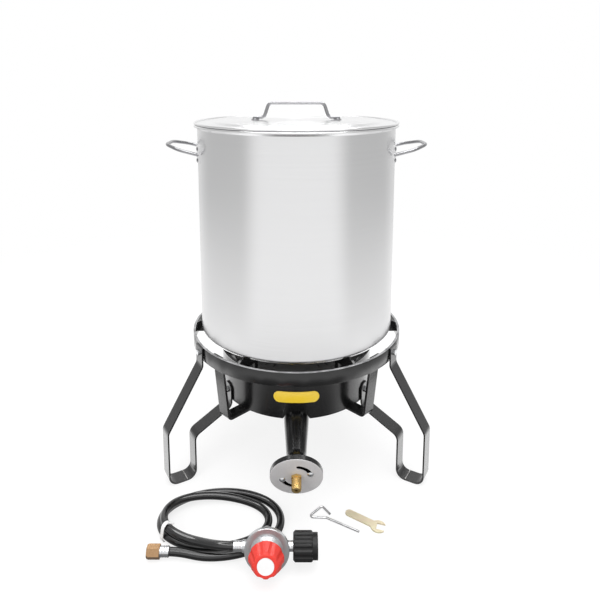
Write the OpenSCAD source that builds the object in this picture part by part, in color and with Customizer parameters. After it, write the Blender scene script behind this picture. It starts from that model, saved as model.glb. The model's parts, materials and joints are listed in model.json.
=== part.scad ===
/* [Stand] */
// Outside diameter of the flat band that makes the top ring
ring_d = 413; // [404:1:430]
// Height of the top edge of the ring above the floor
ring_top = 255; // [251:1:262]
// Height of the band itself
ring_band = 26; // [20:1:30]
// Thickness of the band
ring_t = 4.5; // [3:0.5:5]
// Number of pot rests inside the ring
rest_count = 6; // [6:1:6]
// Thickness of a pot rest
rest_t = 4.5; // [3:0.5:6]
// Depth of a pot rest, top to bottom
rest_depth = 22; // [19:1:24]
// How far the pot rests stand above the ring
rest_rise = 3.5; // [2:0.5:6]
// Radius at which the pot rests end over the burner
rest_inner_r = 66; // [50:1:80]
// Width of the flat bar that makes the two base straps
strap_w = 25; // [20:1:28]
// Thickness of the base straps
strap_t = 4.5; // [3.5:0.5:5]
// Height of the underside of the lower base strap
strap_z = 124; // [120:0.5:126]
// Radius to the outside of a strut at its foot
strut_foot_r = 188; // [183:1:191]
// Height of the weld bead between the two straps
weld_gap = 2; // [1:0.5:3]

/* [Windscreen] */
// Outside diameter of the windscreen drum
drum_d = 300; // [294:1:306]
// Height of the windscreen drum
drum_h = 88; // [83:1:92]
// Sheet thickness of the windscreen drum
drum_t = 1.5; // [1:0.5:2]
// Length of the rating plate round the drum
label_w = 84; // [60:1:100]
// Height of the rating plate
label_h = 21; // [16:1:26]
// Height of the rating plate's lower edge over the drum's
label_rise = 32; // [27:1:37]

/* [Legs] */
// Width of the flat bar of a leg
leg_w = 30; // [25:1:32]
// Thickness of the flat bar of a leg
leg_t = 3; // [2.5:0.5:3.5]
// Radius to the outside of a foot
foot_outer_r = 279; // [272:1:290]
// Length of a foot on the floor
foot_l = 54; // [48:1:60]
// Height of the knee where the leg leans in
knee_z = 104; // [97:1:112]
// Height of the bend where the arm turns in
arm_z = 84; // [80:1:88]
// Height at which the leg starts to lean out under the ring
shoulder_z = 218; // [214:1:222]
// Height at which a leg's arm turns up along the drum
tab_z = 123; // [119:1:127]
// Height of the top of a leg's tab on the drum
tab_top = 166; // [162:1:170]
// Height of the bolts through the drum
drum_bolt_z = 152; // [149:1:155]
// Radius of the bends in a leg
leg_bend = 16; // [12:1:18]
// Diameter of the bolts that hold the legs
bolt_d = 6; // [5:0.5:8]

/* [Burner] */
// Diameter of the cast burner head
burner_d = 254; // [240:1:260]
// Height of the top of the burner above the floor
burner_top = 214; // [211:1:217]
// Thickness of the burner cap
cap_t = 5; // [4:0.5:6]
// Depth of the cast burner bowl
bowl_h = 52; // [48:1:54]
// Downward slope of the venturi tube
venturi_tilt = 19; // [19:0.5:19]
// Distance from the ring's axis to the face of the air shutter
shutter_reach = 244; // [239:1:249]
// Height of the centre of the air shutter
shutter_z = 89.5; // [89:0.5:91]
// Radius of the venturi tube at its throat
throat_r = 17.2; // [16:0.2:18.4]
// Radius of the venturi tube where it meets the burner
tube_r = 24; // [22:0.5:25]
// Wall of the venturi casting
casting_wall = 3.5; // [2.5:0.5:4]
// Diameter of the air shutter
shutter_d = 89; // [80:1:92]
// Thickness of the air shutter
shutter_t = 1.5; // [1:0.5:2]
// Radius of the circle that the shutter's slots follow
slot_r = 24.5; // [22:0.5:27]
// Width of the shutter's slots
slot_w = 7.4; // [6.4:0.2:7.8]
// Angle that the shutter can turn
shutter_travel = 66; // [40:1:70]
// Diameter of the gas inlet thread
inlet_d = 15.8; // [15:0.2:15.8]
// Length of the gas inlet thread
inlet_l = 19; // [17:1:24]

/* [Pot] */
// Outside diameter of the pot's wall
pot_d = 378; // [362:1:380]
// Height of the pot from its base to the top of its rim
pot_h = 402; // [372:5:432]
// Wall thickness of the pot
pot_t = 1.5; // [1:0.5:2]
// Diameter over the rolled rim
rim_d = 391; // [388:1:400]
// Half the distance between the ends of a side handle
handle_half = 57; // [51:1:63]
// Reach of the side handles from the pot's axis
handle_reach = 249; // [241:1:259]
// Diameter of the handle rod
rod_d = 6.4; // [5.6:0.2:7.2]
// Distance from the rim down to the middle of the handle plates
handle_drop = 54; // [48:1:60]

/* [Lid] */
// Diameter of the flat raised middle of the lid
lid_step_d = 320; // [300:2:340]
// Rise of the lid's middle over its edge
lid_rise = 5; // [4.5:0.5:8]
// Distance between the feet of the lid handle
lid_handle_l = 154; // [140:2:168]
// Height of the lid handle over the lid
lid_handle_h = 35; // [31:1:40]

/* [Regulator] */
// Diameter of the regulator's flange
flange_d = 69; // [67:1:72]
// Diameter of the adjusting knob at its back
knob_d = 54; // [50:1:56]
// Depth of the adjusting knob
knob_h = 19; // [17:1:22]
// Backward lean of the regulator as it lies
knob_lean = 10; // [8:0.5:12]
// Diameter of the coupling handwheel
wheel_d = 42; // [40:1:46]
// Length of the coupling handwheel
wheel_l = 38; // [36:1:42]
// Radius of the handwheel's thread for the cylinder valve
valve_thread_r = 16.2; // [15:0.2:17]
// Width over the flats of the hose's flare nut
flare_nut_af = 19; // [18.5:0.5:22]
// Length of the flare nut
flare_nut_l = 20; // [20:1:23]
// Radius of the flare nut's thread
flare_thread_r = 7.95; // [7.9:0.05:8.1]
// Diameter of the crimped hose ferrules
ferrule_d = 15; // [14.4:0.2:16]

/* [Hose] */
// Outside diameter of the hose
hose_d = 13; // [12:0.5:13]
// Half length of the coil's outer loop
coil_a = 110; // [110:1:110]
// Half width of the coil's outer loop
coil_b = 75; // [75:1:75]
// How far the loops draw in
coil_draw = 22; // [22:1:22]
// Lift of the crossing strand
coil_lift = 13.7; // [13.7:0.1:14]
// Number of loops in the coil
coil_turns = 1.92; // [1.92:0.01:1.92]

/* [Tools] */
// Wire diameter of the key
key_d = 3.6; // [3:0.2:4]
// Length of the wrench from its end to its jaw
wrench_l = 62; // [56:1:68]
// Opening of the wrench's jaw
jaw_w = 14; // [12:0.5:15]
// Thickness of the wrench
wrench_t = 2.6; // [2:0.2:3]

/* [Hidden] */
$fn = 96;

steel_black = [0.09, 0.09, 0.1];
steel_bright = [0.8, 0.8, 0.82];
brass_yellow = [0.8, 0.6, 0.25];

// Gap between curved faces of pieces that lift or turn apart
seat_gap = 0.3;
// Radial clearance of a running fit
run_fit = 0.06;
// Radial clearance round a bolt
bolt_fit = 0.25;

ring_r = ring_d / 2;
ring_in = ring_r - ring_t;
ring_low = ring_top - ring_band;
rest_top = ring_top + rest_rise;
rest_low = rest_top - rest_depth;
strap_low_top = strap_z + strap_t;
strap_high_z = strap_low_top + weld_gap;
drum_z = strap_high_z + strap_t;
drum_top = drum_z + drum_h;
drum_r = drum_d / 2;
drum_bead = 2.5;
label_t = 0.8;
label_gap = 0.2;
strut_in = ring_in - 0.4;
fin_pitch = 360 / rest_count;

shutter_r = shutter_d / 2;
fit_tip = inlet_l + 4.6;
front_reach = shutter_reach + fit_tip * cos(venturi_tilt) + inlet_d / 2 * sin(venturi_tilt);
// Shift that puts the middle of the stand's depth at the origin
stand_y = (front_reach - foot_outer_r) / 2;

leg_angles = [210, 330, 90];
leg_ring_r = ring_r + leg_t;
ring_bolt_z = ring_top - ring_band / 2;
foot_inner_r = foot_outer_r - foot_l;
bolt_r = bolt_d / 2;
bolt_head_r = bolt_d * 0.92;
bolt_head_h = bolt_d * 0.6;

burner_r = burner_d / 2;
bowl_top = burner_top - cap_t;
bowl_low = bowl_top - bowl_h;
bowl_wall = 6;
bowl_flat_r = 40;
bowl_edge_z = bowl_top - 12;
post_r = 7;
post_reach = 70;
// Length along the venturi's axis from the shutter's face to the ring's axis
axis_run = shutter_reach / cos(venturi_tilt);
tube_end = 190;
boss_start = 166;
boss_r = tube_r + 4;

mouth_gap = shutter_t + seat_gap;
face_plate = 2.5;
mouth_depth = 8;
fit_shank_r = 6;
screw_shank_r = 2.4;
screw_start = 16;
slot_end = screw_start + shutter_travel;
nut_back = mouth_gap + face_plate;

pot_r = pot_d / 2;
pot_in = pot_r - pot_t;
pot_z = rest_top;
pot_top = pot_z + pot_h;
rim_r = rim_d / 2;
rim_bead = 2.4;
pot_corner = 8;
plate_t = 2.5;
plate_h = 31;
plate_half = 4;
handle_lift = 1;
handle_z = pot_top - handle_drop;
plate_r = pot_r + plate_t;
handle_angle = asin(handle_half / plate_r);
handle_tilt = 14.5;
handle_bend = 30;
rivet_r = 2.4;
rivet_spread = 10.5;

// How far the straight runs of a rod reach into its bends, and how much thinner the bends are
rod_lap = 0.2;
rod_step = 0.04;

lid_t = 1.2;
lid_z = pot_top + seat_gap;
lid_step_r = lid_step_d / 2;
lid_flat = lid_z + lid_rise + lid_t;
lid_bead = 2.2;
lid_skirt_h = 12;
lid_skirt_r = pot_in - 1.3;
foot_plate_t = 1.6;
foot_plate_l = 14;
foot_plate_w = 22;
lid_foot_x = lid_handle_l / 2;
lid_heel_in = 15;
lid_bar_in = 24;
lid_bend = 10;

hose_r = hose_d / 2;
hose_z = hose_r + 0.5;
coil_c = [-133, -242];
coil_rings = 24;
coil_sides = 6;
lift_from = 1.38;
lift_to = 1.72;

flange_r = flange_d / 2;
flange_back = 8;
flange_t = 6;
reg_c = [-45, -324, flange_r * cos(knob_lean) - flange_back * sin(knob_lean)];
port_l = 38;
neck_r = 7.6;
knob_back = 29;
knob_brim = 3;
knob_neck_r = 20;
knob_front_r = 16.5;
knob_cap_r = 12.6;
screw_r = 6;
bonnet_screw_at = 5;
bonnet_screw_r = 1.8;
boss_h = 6.5;
// Length of a bonnet screw inside the bonnet's flange
screw_bite = 2.2;
wheel_x = 40;
flare_z = flare_nut_af / 2 / cos(30);
flare_y = -311;
flare_x = -200;
flare_thread_l = 12;
valve_thread_l = 18;
thread_relief = 0.4;
ferrule_l = 14;
ferrule_r = ferrule_d / 2;
tie_t = 1;
tie_gap = 1.3;
tie_w = 7;
tie_turn = 0.84;
hose_join = 0.2;

// Route of the hose from the flare nut's ferrule to the coil
nut_route = [
    [flare_x, flare_y, flare_z], [-187, flare_y, flare_z], [-176, -312, 10.3], [-164, -314.5, 8.7],
    [-153, -316.5, 7.4], [-148, -317, hose_z], [coil_c.x - hose_d - hose_join, -317, hose_z]
];
// Route of the hose from the coil to the regulator, between its ends
regulator_route = [[-150, -305, 22.3], [-137.5, -313, 26], [-124, -320, 30.5]];

function unit(v) = v / norm(v);
function turned(v, a) = [v.x * cos(a) - v.y * sin(a), v.x * sin(a) + v.y * cos(a)];
function cross_z(a, b) = a.x * b.y - a.y * b.x;

// Points of an arc, with its ends
function arc(c, r, from, to, steps = 8) =
    [for (i = [0 : steps]) let (a = from + (to - from) * i / steps) c + r * [cos(a), sin(a)]];

// Points of the bend of radius r that replaces the corner b
function bend(a, b, c, r, steps = 6) =
    let (
        u = unit(a - b),
        v = unit(c - b),
        half = acos(u * v) / 2,
        start = b + u * r / tan(half),
        centre = b + unit(u + v) * r / sin(half),
        sweep = sign(cross_z(-u, v)) * (180 - 2 * half)
    )
    [for (i = [0 : steps]) centre + turned(start - centre, sweep * i / steps)];

function bent_line(p, r) = concat(
    [p[0]],
    [for (i = [1 : len(p) - 2]) each bend(p[i - 1], p[i], p[i + 1], r)],
    [p[len(p) - 1]]
);

function direction(p, i) = unit(p[min(i + 1, len(p) - 1)] - p[max(i - 1, 0)]);
function offset_line(p, d) = [for (i = [0 : len(p) - 1]) p[i] + d * turned(direction(p, i), 90)];
function reversed(p) = [for (i = [len(p) - 1 : -1 : 0]) p[i]];

// Outline of a flat bar seen on edge, bent along the points
function bar_outline(p, t) = concat(offset_line(p, t / 2), reversed(offset_line(p, -t / 2)));

// A flat bar bent in the XZ plane, with its width along Y
module flat_bar(p, t, w) {
    rotate([90, 0, 0])
        linear_extrude(w, center = true)
            polygon(bar_outline(p, t));
}

// A round rod bent in the XY plane, with the same radius at each corner
module round_rod(p, bend_r, d) {
    last = len(p) - 1;
    halves = [for (i = [1 : last - 1]) acos(unit(p[i - 1] - p[i]) * unit(p[i + 1] - p[i])) / 2];
    cuts = concat([0], [for (h = halves) bend_r / tan(h)], [0]);
    for (i = [0 : last - 1]) {
        run = p[i + 1] - p[i];
        along = unit(run);
        first_lap = i == 0 ? 0 : rod_lap;
        last_lap = i == last - 1 ? 0 : rod_lap;
        start = p[i] + along * (cuts[i] - first_lap);
        length = norm(run) - cuts[i] - cuts[i + 1] + first_lap + last_lap;
        translate([start.x, start.y, 0])
            rotate([0, 0, atan2(along.y, along.x)])
                rotate([0, 90, 0])
                    cylinder(h = length, d = d, $fn = 32);
    }
    for (i = [1 : last - 1]) {
        u = unit(p[i - 1] - p[i]);
        v = unit(p[i + 1] - p[i]);
        half = halves[i - 1];
        centre = p[i] + unit(u + v) * bend_r / sin(half);
        first = p[i] + u * cuts[i] - centre;
        second = p[i] + v * cuts[i] - centre;
        left = cross_z(first, second) > 0;
        from = left ? first : second;
        translate([centre.x, centre.y, 0])
            rotate([0, 0, atan2(from.y, from.x)])
                rotate_extrude(angle = 180 - 2 * half)
                    translate([bend_r, 0])
                        circle(d = d - rod_step, $fn = 32);
    }
}

// Rings of a tube along a level or gently sloping route
function ring_points(p, i, r, sides) =
    let (
        ahead = direction(p, i),
        side = unit(cross(ahead, [0, 0, 1])),
        up = cross(side, ahead)
    )
    [for (k = [0 : sides - 1]) p[i] + r * (side * cos(360 * k / sides) + up * sin(360 * k / sides))];

module tube(p, r, sides) {
    rings = len(p);
    points = [for (i = [0 : rings - 1]) each ring_points(p, i, r, sides)];
    walls = [for (i = [0 : rings - 2], k = [0 : sides - 1])
        let (a = i * sides + k, b = i * sides + (k + 1) % sides)
        each [[a, b + sides, b], [a, a + sides, b + sides]]];
    start = [for (k = [1 : sides - 2]) [0, k, k + 1]];
    ends = [for (k = [1 : sides - 2])
        [(rings - 1) * sides, (rings - 1) * sides + k + 1, (rings - 1) * sides + k]];
    polyhedron(points = points, faces = concat(walls, start, ends), convexity = 8);
}

// The stand's own axis
module on_stand() {
    translate([0, stand_y, 0])
        children();
}

// Pieces laid out in the radial plane of an angle
module facing(angle) {
    on_stand()
        rotate([0, 0, angle])
            children();
}

// The venturi's frame, with its origin on the shutter's face and Z pointing out of the mouth
module on_mixer() {
    translate([0, stand_y - shutter_reach, shutter_z])
        rotate([90 + venturi_tilt, 0, 0])
            children();
}

// The regulator's frame, with Z along the knob's axis
module on_regulator() {
    translate([reg_c.x, stand_y + reg_c.y, reg_c.z])
        rotate([90 - knob_lean, 0, 0])
            children();
}

// The line of the ports, with Z along X of the part
module on_ports(x) {
    translate([reg_c.x + x, stand_y + reg_c.y, reg_c.z])
        rotate([0, 90, 0])
            children();
}

// The flare nut's line, with Z along X of the part
module on_flare(x) {
    translate([flare_x + x, stand_y + flare_y, flare_z])
        rotate([0, 90, 0])
            children();
}

module hexagon(af, h) {
    rotate([0, 0, 30])
        cylinder(h = h, d = af / cos(30), $fn = 6);
}

module top_ring() {
    color(steel_black)
        on_stand()
            difference() {
                translate([0, 0, ring_low])
                    cylinder(h = ring_band, r = ring_r);
                translate([0, 0, ring_low - 1])
                    cylinder(h = ring_band + 2, r = ring_in);
                for (a = leg_angles)
                    rotate([0, 0, a])
                        translate([ring_in - 2, 0, ring_bolt_z])
                            rotate([0, 90, 0])
                                cylinder(h = ring_t + 4, r = bolt_r + bolt_fit, $fn = 32);
            }
}

// A pot rest, with a lug that stands on the drum's rim
module pot_rest(index) {
    lug_in = drum_r - 5;
    lug_out = drum_r + 5;
    outer = ring_in - 0.1;
    outline = [
        [outer, rest_low], [outer, ring_top], [outer - 6, rest_top], [rest_inner_r, rest_top],
        [rest_inner_r, rest_low + 8], [rest_inner_r + 8, rest_low],
        [lug_in, rest_low], [lug_in, drum_top], [lug_out, drum_top], [lug_out, rest_low]
    ];
    color(steel_black)
        facing(fin_pitch * index)
            rotate([90, 0, 0])
                linear_extrude(rest_t, center = true)
                    polygon(outline);
}

// A base strap with its two struts, its base at height z
module base_strap(angle, z) {
    mid = strap_t / 2;
    foot = strut_foot_r - mid;
    top = strut_in - mid;
    line = bent_line([[-top, ring_top - 2], [-foot, z + mid], [foot, z + mid], [top, ring_top - 2]], 9);
    color(steel_black)
        facing(angle)
            difference() {
                flat_bar(line, strap_t, strap_w);
                for (side = [-1, 1])
                    translate([side * post_reach, 0, z - 1])
                        cylinder(h = strap_t + 2, r = bolt_r + bolt_fit, $fn = 32);
            }
}

module lower_strap() {
    base_strap(45, strap_z);
    color(steel_black)
        on_stand()
            translate([0, 0, strap_low_top])
                cylinder(h = weld_gap, r = 9);
}

module upper_strap() {
    base_strap(135, strap_high_z);
}

module windscreen_drum() {
    notch_r = tube_r + 3;
    color(steel_black)
        on_stand()
            difference() {
                union() {
                    translate([0, 0, drum_z])
                        cylinder(h = drum_h - drum_bead, r = drum_r);
                    translate([0, 0, drum_top - drum_bead])
                        rotate_extrude()
                            translate([drum_r, 0])
                                circle(r = drum_bead, $fn = 24);
                }
                translate([0, 0, drum_z - 1])
                    cylinder(h = drum_h + 2, r = drum_r - drum_t);
                translate([0, -shutter_reach, shutter_z])
                    rotate([90 + venturi_tilt, 0, 0])
                        translate([0, 0, -boss_start])
                            cylinder(h = boss_start / 2, r = notch_r);
                for (a = leg_angles)
                    rotate([0, 0, a])
                        translate([drum_r - 4, 0, drum_bolt_z])
                            rotate([0, 90, 0])
                                cylinder(h = 8, r = bolt_r + bolt_fit, $fn = 32);
            }
}

// A bare plate with round ends, bent round the front of the drum
module rating_plate() {
    sweep = label_w / drum_r * 180 / PI;
    plate_z = drum_z + label_rise;
    color([0.95, 0.76, 0.12])
        on_stand()
            intersection() {
                rotate([0, 0, -90 - sweep / 2])
                    rotate_extrude(angle = sweep)
                        translate([drum_r + label_gap, plate_z])
                            square([label_t, label_h]);
                translate([0, 0, plate_z + label_h / 2])
                    rotate([90, 0, 0])
                        linear_extrude(drum_r + 5) {
                            run = drum_r * sin(sweep / 2) - label_h / 2;
                            square([2 * run, label_h], center = true);
                            for (side = [-1, 1])
                                translate([side * run, 0])
                                    circle(d = label_h, $fn = 48);
                        }
            }
}

module leg(angle) {
    mid = leg_t / 2;
    tab_r = drum_r + mid + 0.2;
    top_r = ring_r + mid + 0.2;
    line = bent_line([
        [top_r, ring_top - 1], [top_r, shoulder_z], [foot_outer_r - mid, knee_z], [foot_outer_r - mid, mid],
        [foot_inner_r + mid, mid], [foot_inner_r + mid, arm_z], [tab_r, tab_z], [tab_r, tab_top]
    ], leg_bend);
    color(steel_black)
        facing(angle)
            difference() {
                flat_bar(line, leg_t, leg_w);
                translate([ring_r - 5, 0, ring_bolt_z])
                    rotate([0, 90, 0])
                        cylinder(h = 15, r = bolt_r + bolt_fit, $fn = 32);
                translate([drum_r - 5, 0, drum_bolt_z])
                    rotate([0, 90, 0])
                        cylinder(h = 15, r = bolt_r + bolt_fit, $fn = 32);
                // Clipped corners at the top of the inner tab
                for (side = [-1, 1])
                    translate([tab_r, side * leg_w / 2, tab_top])
                        rotate([45, 0, 0])
                            cube([12, 12, 12], center = true);
            }
}

module front_left_leg() leg(leg_angles[0]);
module front_right_leg() leg(leg_angles[1]);
module rear_leg() leg(leg_angles[2]);

// Bolts through a leg, with their heads outside
module leg_bolts(inner_r, outer_r, z) {
    color(steel_bright)
        for (a = leg_angles)
            facing(a)
                translate([inner_r, 0, z])
                    rotate([0, 90, 0]) {
                        cylinder(h = outer_r - inner_r, r = bolt_r, $fn = 32);
                        translate([0, 0, outer_r - inner_r])
                            hexagon(bolt_head_r * 2 * cos(30), bolt_head_h);
                    }
}

module leg_nuts(outer_r, z) {
    color(steel_bright)
        for (a = leg_angles)
            facing(a)
                translate([outer_r - bolt_d * 0.8, 0, z])
                    rotate([0, 90, 0])
                        difference() {
                            hexagon(bolt_head_r * 2 * cos(30), bolt_d * 0.8);
                            translate([0, 0, -1])
                                cylinder(h = bolt_d + 2, r = bolt_r + 0.02, $fn = 32);
                        }
}

module ring_bolts() leg_bolts(ring_in - bolt_d - 3, leg_ring_r + 0.2, ring_bolt_z);
module ring_nuts() leg_nuts(ring_in - 0.5, ring_bolt_z);
module drum_bolts() leg_bolts(drum_r - drum_t - bolt_d - 3, drum_r + leg_t + 0.2, drum_bolt_z);
module drum_nuts() leg_nuts(drum_r - drum_t - 0.2, drum_bolt_z);

module burner_bowl() {
    slope = (bowl_edge_z - bowl_low) / (burner_r - bowl_flat_r);
    color([0.13, 0.13, 0.14])
        difference() {
            on_stand() {
                rotate_extrude()
                    polygon([
                        [0, bowl_low], [bowl_flat_r, bowl_low], [burner_r, bowl_edge_z], [burner_r, bowl_top],
                        [burner_r - bowl_wall, bowl_top], [burner_r - bowl_wall, bowl_edge_z + 3],
                        [bowl_flat_r - 2, bowl_low + bowl_wall], [0, bowl_low + bowl_wall]
                    ]);
                translate([0, 0, bowl_low + 1])
                    cylinder(h = bowl_top - bowl_low - 1, r = 10);
                for (a = [0 : 90 : 270])
                    rotate([0, 0, 45 + a])
                        translate([post_reach, 0, 0]) {
                            foot = a % 180 == 0 ? strap_low_top : drum_z;
                            head = bowl_low + (post_reach - bowl_flat_r) * slope + 3;
                            translate([0, 0, foot])
                                cylinder(h = head - foot, r = post_r, $fn = 48);
                        }
                difference() {
                    translate([0, -shutter_reach, shutter_z])
                        rotate([90 + venturi_tilt, 0, 0])
                            translate([0, 0, -axis_run + 16])
                                cylinder(h = axis_run - 16 - boss_start, r = boss_r);
                    translate([0, 0, bowl_low + bowl_wall - 2])
                        cylinder(h = 60, r1 = bowl_flat_r - 2, r2 = bowl_flat_r - 2 + 60 / slope);
                }
            }
            on_mixer()
                translate([0, 0, -axis_run + 20])
                    cylinder(h = axis_run, r = tube_r);
            on_stand()
                translate([0, 0, bowl_top - 25])
                    cylinder(h = 30, r = 2.6, $fn = 32);
            for (a = [0 : 90 : 270])
                facing(45 + a)
                    translate([post_reach, 0, strap_z - 1])
                        cylinder(h = 30, r = bolt_r + 0.05, $fn = 32);
        }
}

module burner_cap() {
    rib_h = 2;
    rows = [46, 74, 104];
    ports = [16, 24, 40];
    // Half angle of the four plain spokes between the fields of ports
    spoke = 14;
    color([0.13, 0.13, 0.14])
        on_stand()
            difference() {
                union() {
                    translate([0, 0, bowl_top])
                        cylinder(h = cap_t - rib_h, r = burner_r);
                    for (r = [burner_r - 5, 88, 60, 32])
                        translate([0, 0, bowl_top])
                            difference() {
                                cylinder(h = cap_t, r = r + 2.5);
                                translate([0, 0, -1])
                                    cylinder(h = cap_t + 2, r = r - 2.5);
                            }
                    translate([0, 0, bowl_top])
                        cylinder(h = cap_t, r = 13);
                }
                for (row = [0 : 2], i = [0 : ports[row] - 1]) {
                    at = 360 * (i + 0.5) / ports[row];
                    if (abs((at + 45) % 90 - 45) > spoke)
                        rotate([0, 0, at])
                            translate([rows[row], 0, bowl_top + cap_t / 2])
                                cube([16, 3, cap_t + 2], center = true);
                }
                translate([0, 0, bowl_top - 1])
                    cylinder(h = cap_t + 2, r = 3, $fn = 32);
            }
}

module cap_screw() {
    color(steel_bright)
        on_stand() {
            translate([0, 0, bowl_top - 18])
                cylinder(h = cap_t + 18, r = 2.5, $fn = 32);
            translate([0, 0, burner_top])
                difference() {
                    cylinder(h = 3, r = 5.5, $fn = 48);
                    translate([0, 0, 3])
                        cube([12, 1.2, 2], center = true);
                }
        }
}

// Bolts that come up through the straps into the burner's four posts
module burner_bolts() {
    color(steel_bright)
        for (a = [0 : 90 : 270])
            facing(45 + a) {
                z = a % 180 == 0 ? strap_z : strap_high_z;
                translate([post_reach, 0, z - 1])
                    cylinder(h = 23, r = bolt_r, $fn = 32);
                translate([post_reach, 0, z - bolt_head_h])
                    hexagon(bolt_head_r * 2 * cos(30), bolt_head_h);
            }
}

// A curved slot that follows the shutter's circle, with round ends
module curved_slot(from, to, w, z, h) {
    rotate([0, 0, from])
        rotate_extrude(angle = to - from)
            translate([slot_r - w / 2, z])
                square([w, h]);
    for (a = [from, to])
        rotate([0, 0, a])
            translate([slot_r, 0, z])
                cylinder(h = h, d = w + rod_step, $fn = 32);
}

module venturi_mixer() {
    flare_end = 40;
    taper_end = 106;
    mouth_back = mouth_gap + mouth_depth;
    flare_r = shutter_r - throat_r - 3;
    outer_flare = [for (i = [0 : 8]) [
        throat_r + flare_r * (1 - cos(90 * i / 8)),
        -flare_end + (flare_end - mouth_back - 2) * sin(90 * i / 8)]];
    inner_flare = [for (i = [8 : -1 : 0]) [
        throat_r - casting_wall + flare_r * (1 - cos(90 * i / 8)),
        -flare_end + (flare_end - mouth_back + 1) * sin(90 * i / 8)]];
    color(steel_black)
        on_mixer()
            difference() {
                rotate_extrude()
                    polygon(concat(
                        [[tube_r, -tube_end], [tube_r, -taper_end - 20], [tube_r - 1.3, -taper_end]],
                        outer_flare,
                        [[shutter_r, -mouth_back], [shutter_r, -mouth_gap], [fit_shank_r, -mouth_gap],
                         [fit_shank_r, -nut_back], [shutter_r - casting_wall, -nut_back]],
                        inner_flare,
                        [[tube_r - 1.3 - casting_wall, -taper_end], [tube_r - casting_wall, -taper_end - 20],
                         [tube_r - casting_wall, -tube_end]]
                    ));
                for (side = [0, 180]) {
                    rotate([0, 0, side])
                        curved_slot(screw_start + 20, slot_end, slot_w + 4, -nut_back - 1, face_plate + 2);
                    rotate([0, 0, side + screw_start])
                        translate([slot_r, 0, -nut_back - 1])
                            cylinder(h = face_plate + 2, r = screw_shank_r + 0.02, $fn = 32);
                }
            }
}

module air_shutter() {
    color([0.72, 0.72, 0.74])
        on_mixer()
            difference() {
                translate([0, 0, -shutter_t])
                    cylinder(h = shutter_t, r = shutter_r);
                translate([0, 0, -shutter_t - 1])
                    cylinder(h = shutter_t + 2, r = fit_shank_r + run_fit);
                for (side = [0, 180])
                    rotate([0, 0, side])
                        curved_slot(screw_start, slot_end, slot_w, -shutter_t - 1, shutter_t + 2);
            }
}

module shutter_screws() {
    color(steel_bright)
        on_mixer()
            for (side = [0, 180])
                rotate([0, 0, side + screw_start])
                    translate([slot_r, 0, 0]) {
                        translate([0, 0, -nut_back - 3])
                            cylinder(h = nut_back + 3 + seat_gap, r = screw_shank_r, $fn = 32);
                        translate([0, 0, seat_gap])
                            rotate_extrude()
                                polygon(concat([[0, 0]], arc([0, -4.4], 7.1, 38, 90, 6)));
                    }
}

// Brass fitting with the jet, its thread standing out in front of the shutter
module gas_inlet() {
    color(brass_yellow)
        on_mixer()
            difference() {
                union() {
                    translate([0, 0, -20])
                        cylinder(h = 20 + seat_gap, r = fit_shank_r - 0.02);
                    translate([0, 0, seat_gap])
                        hexagon(inlet_d + 1, 4);
                    translate([0, 0, 4])
                        cylinder(h = fit_tip - 5, d = inlet_d);
                    translate([0, 0, fit_tip - 1])
                        cylinder(h = 1, d1 = inlet_d, d2 = inlet_d - 2);
                }
                translate([0, 0, fit_tip - 12])
                    cylinder(h = 13, r = 2.2, $fn = 32);
                translate([0, 0, -21])
                    cylinder(h = fit_tip, r = 0.9, $fn = 24);
            }
}

module inlet_locknut() {
    color(brass_yellow)
        on_mixer()
            translate([0, 0, -nut_back - 5])
                difference() {
                    hexagon(19, 5);
                    translate([0, 0, -1])
                        cylinder(h = 7, r = fit_shank_r);
                }
}

// Places for the handle rivets in the right half of the pot
module at_rivets(side) {
    on_stand()
        for (end = [-1, 1], up = [-1, 1])
            rotate([0, 0, (side > 0 ? 0 : 180) + end * handle_angle])
                translate([0, 0, handle_z + up * rivet_spread])
                    rotate([0, 90, 0])
                        children();
}

module pot_shell() {
    outer_corner = arc([pot_r - pot_corner, pot_z + pot_corner], pot_corner, -90, 0);
    inner_corner = arc([pot_r - pot_corner, pot_z + pot_corner], pot_corner - pot_t, 0, -90);
    neck = pot_top - 2 * rim_bead;
    color(steel_bright)
        difference() {
            on_stand()
                rotate_extrude($fn = 128) {
                    polygon(concat(
                        [[0, pot_z]],
                        outer_corner,
                        [[pot_r, neck - 3], [rim_r - rim_bead, neck + 1],
                         [rim_r - rim_bead, neck + 2.6], [pot_in, neck - 1.9]],
                        inner_corner,
                        [[0, pot_z + pot_t]]
                    ));
                    translate([rim_r - rim_bead, pot_top - rim_bead])
                        circle(r = rim_bead, $fn = 24);
                }
            for (side = [-1, 1])
                at_rivets(side)
                    translate([0, 0, pot_in - 5])
                        cylinder(h = 10, r = rivet_r + 0.02, $fn = 24);
        }
}

// A plate on the pot's wall at each end of a handle
module handle_plates(side) {
    color(steel_bright)
        difference() {
            on_stand()
                for (end = [-1, 1])
                    rotate([0, 0, (side > 0 ? 0 : 180) + end * handle_angle - plate_half])
                        rotate_extrude(angle = 2 * plate_half, $fn = 128)
                            translate([pot_r, handle_z - plate_h / 2])
                                square([plate_t, plate_h]);
            at_rivets(side)
                translate([0, 0, pot_r - 5])
                    cylinder(h = 15, r = rivet_r + 0.02, $fn = 24);
        }
}

module left_handle_plates() handle_plates(-1);
module right_handle_plates() handle_plates(1);

module handle_rod(side) {
    outer = (handle_reach - rod_d / 2 - pot_r) / cos(handle_tilt);
    color(steel_bright)
        difference() {
            on_stand()
                mirror([side > 0 ? 0 : 1, 0, 0])
                    translate([pot_r, 0, handle_z + handle_lift])
                        rotate([0, -handle_tilt, 0])
                            round_rod([
                                [-20, -handle_half], [outer / 2, -handle_half], [outer, -handle_half / 2],
                                [outer, handle_half / 2], [outer / 2, handle_half], [-20, handle_half]
                            ], handle_bend, rod_d);
            on_stand()
                cylinder(h = pot_top + 10, r = plate_r, $fn = 128);
        }
}

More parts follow.
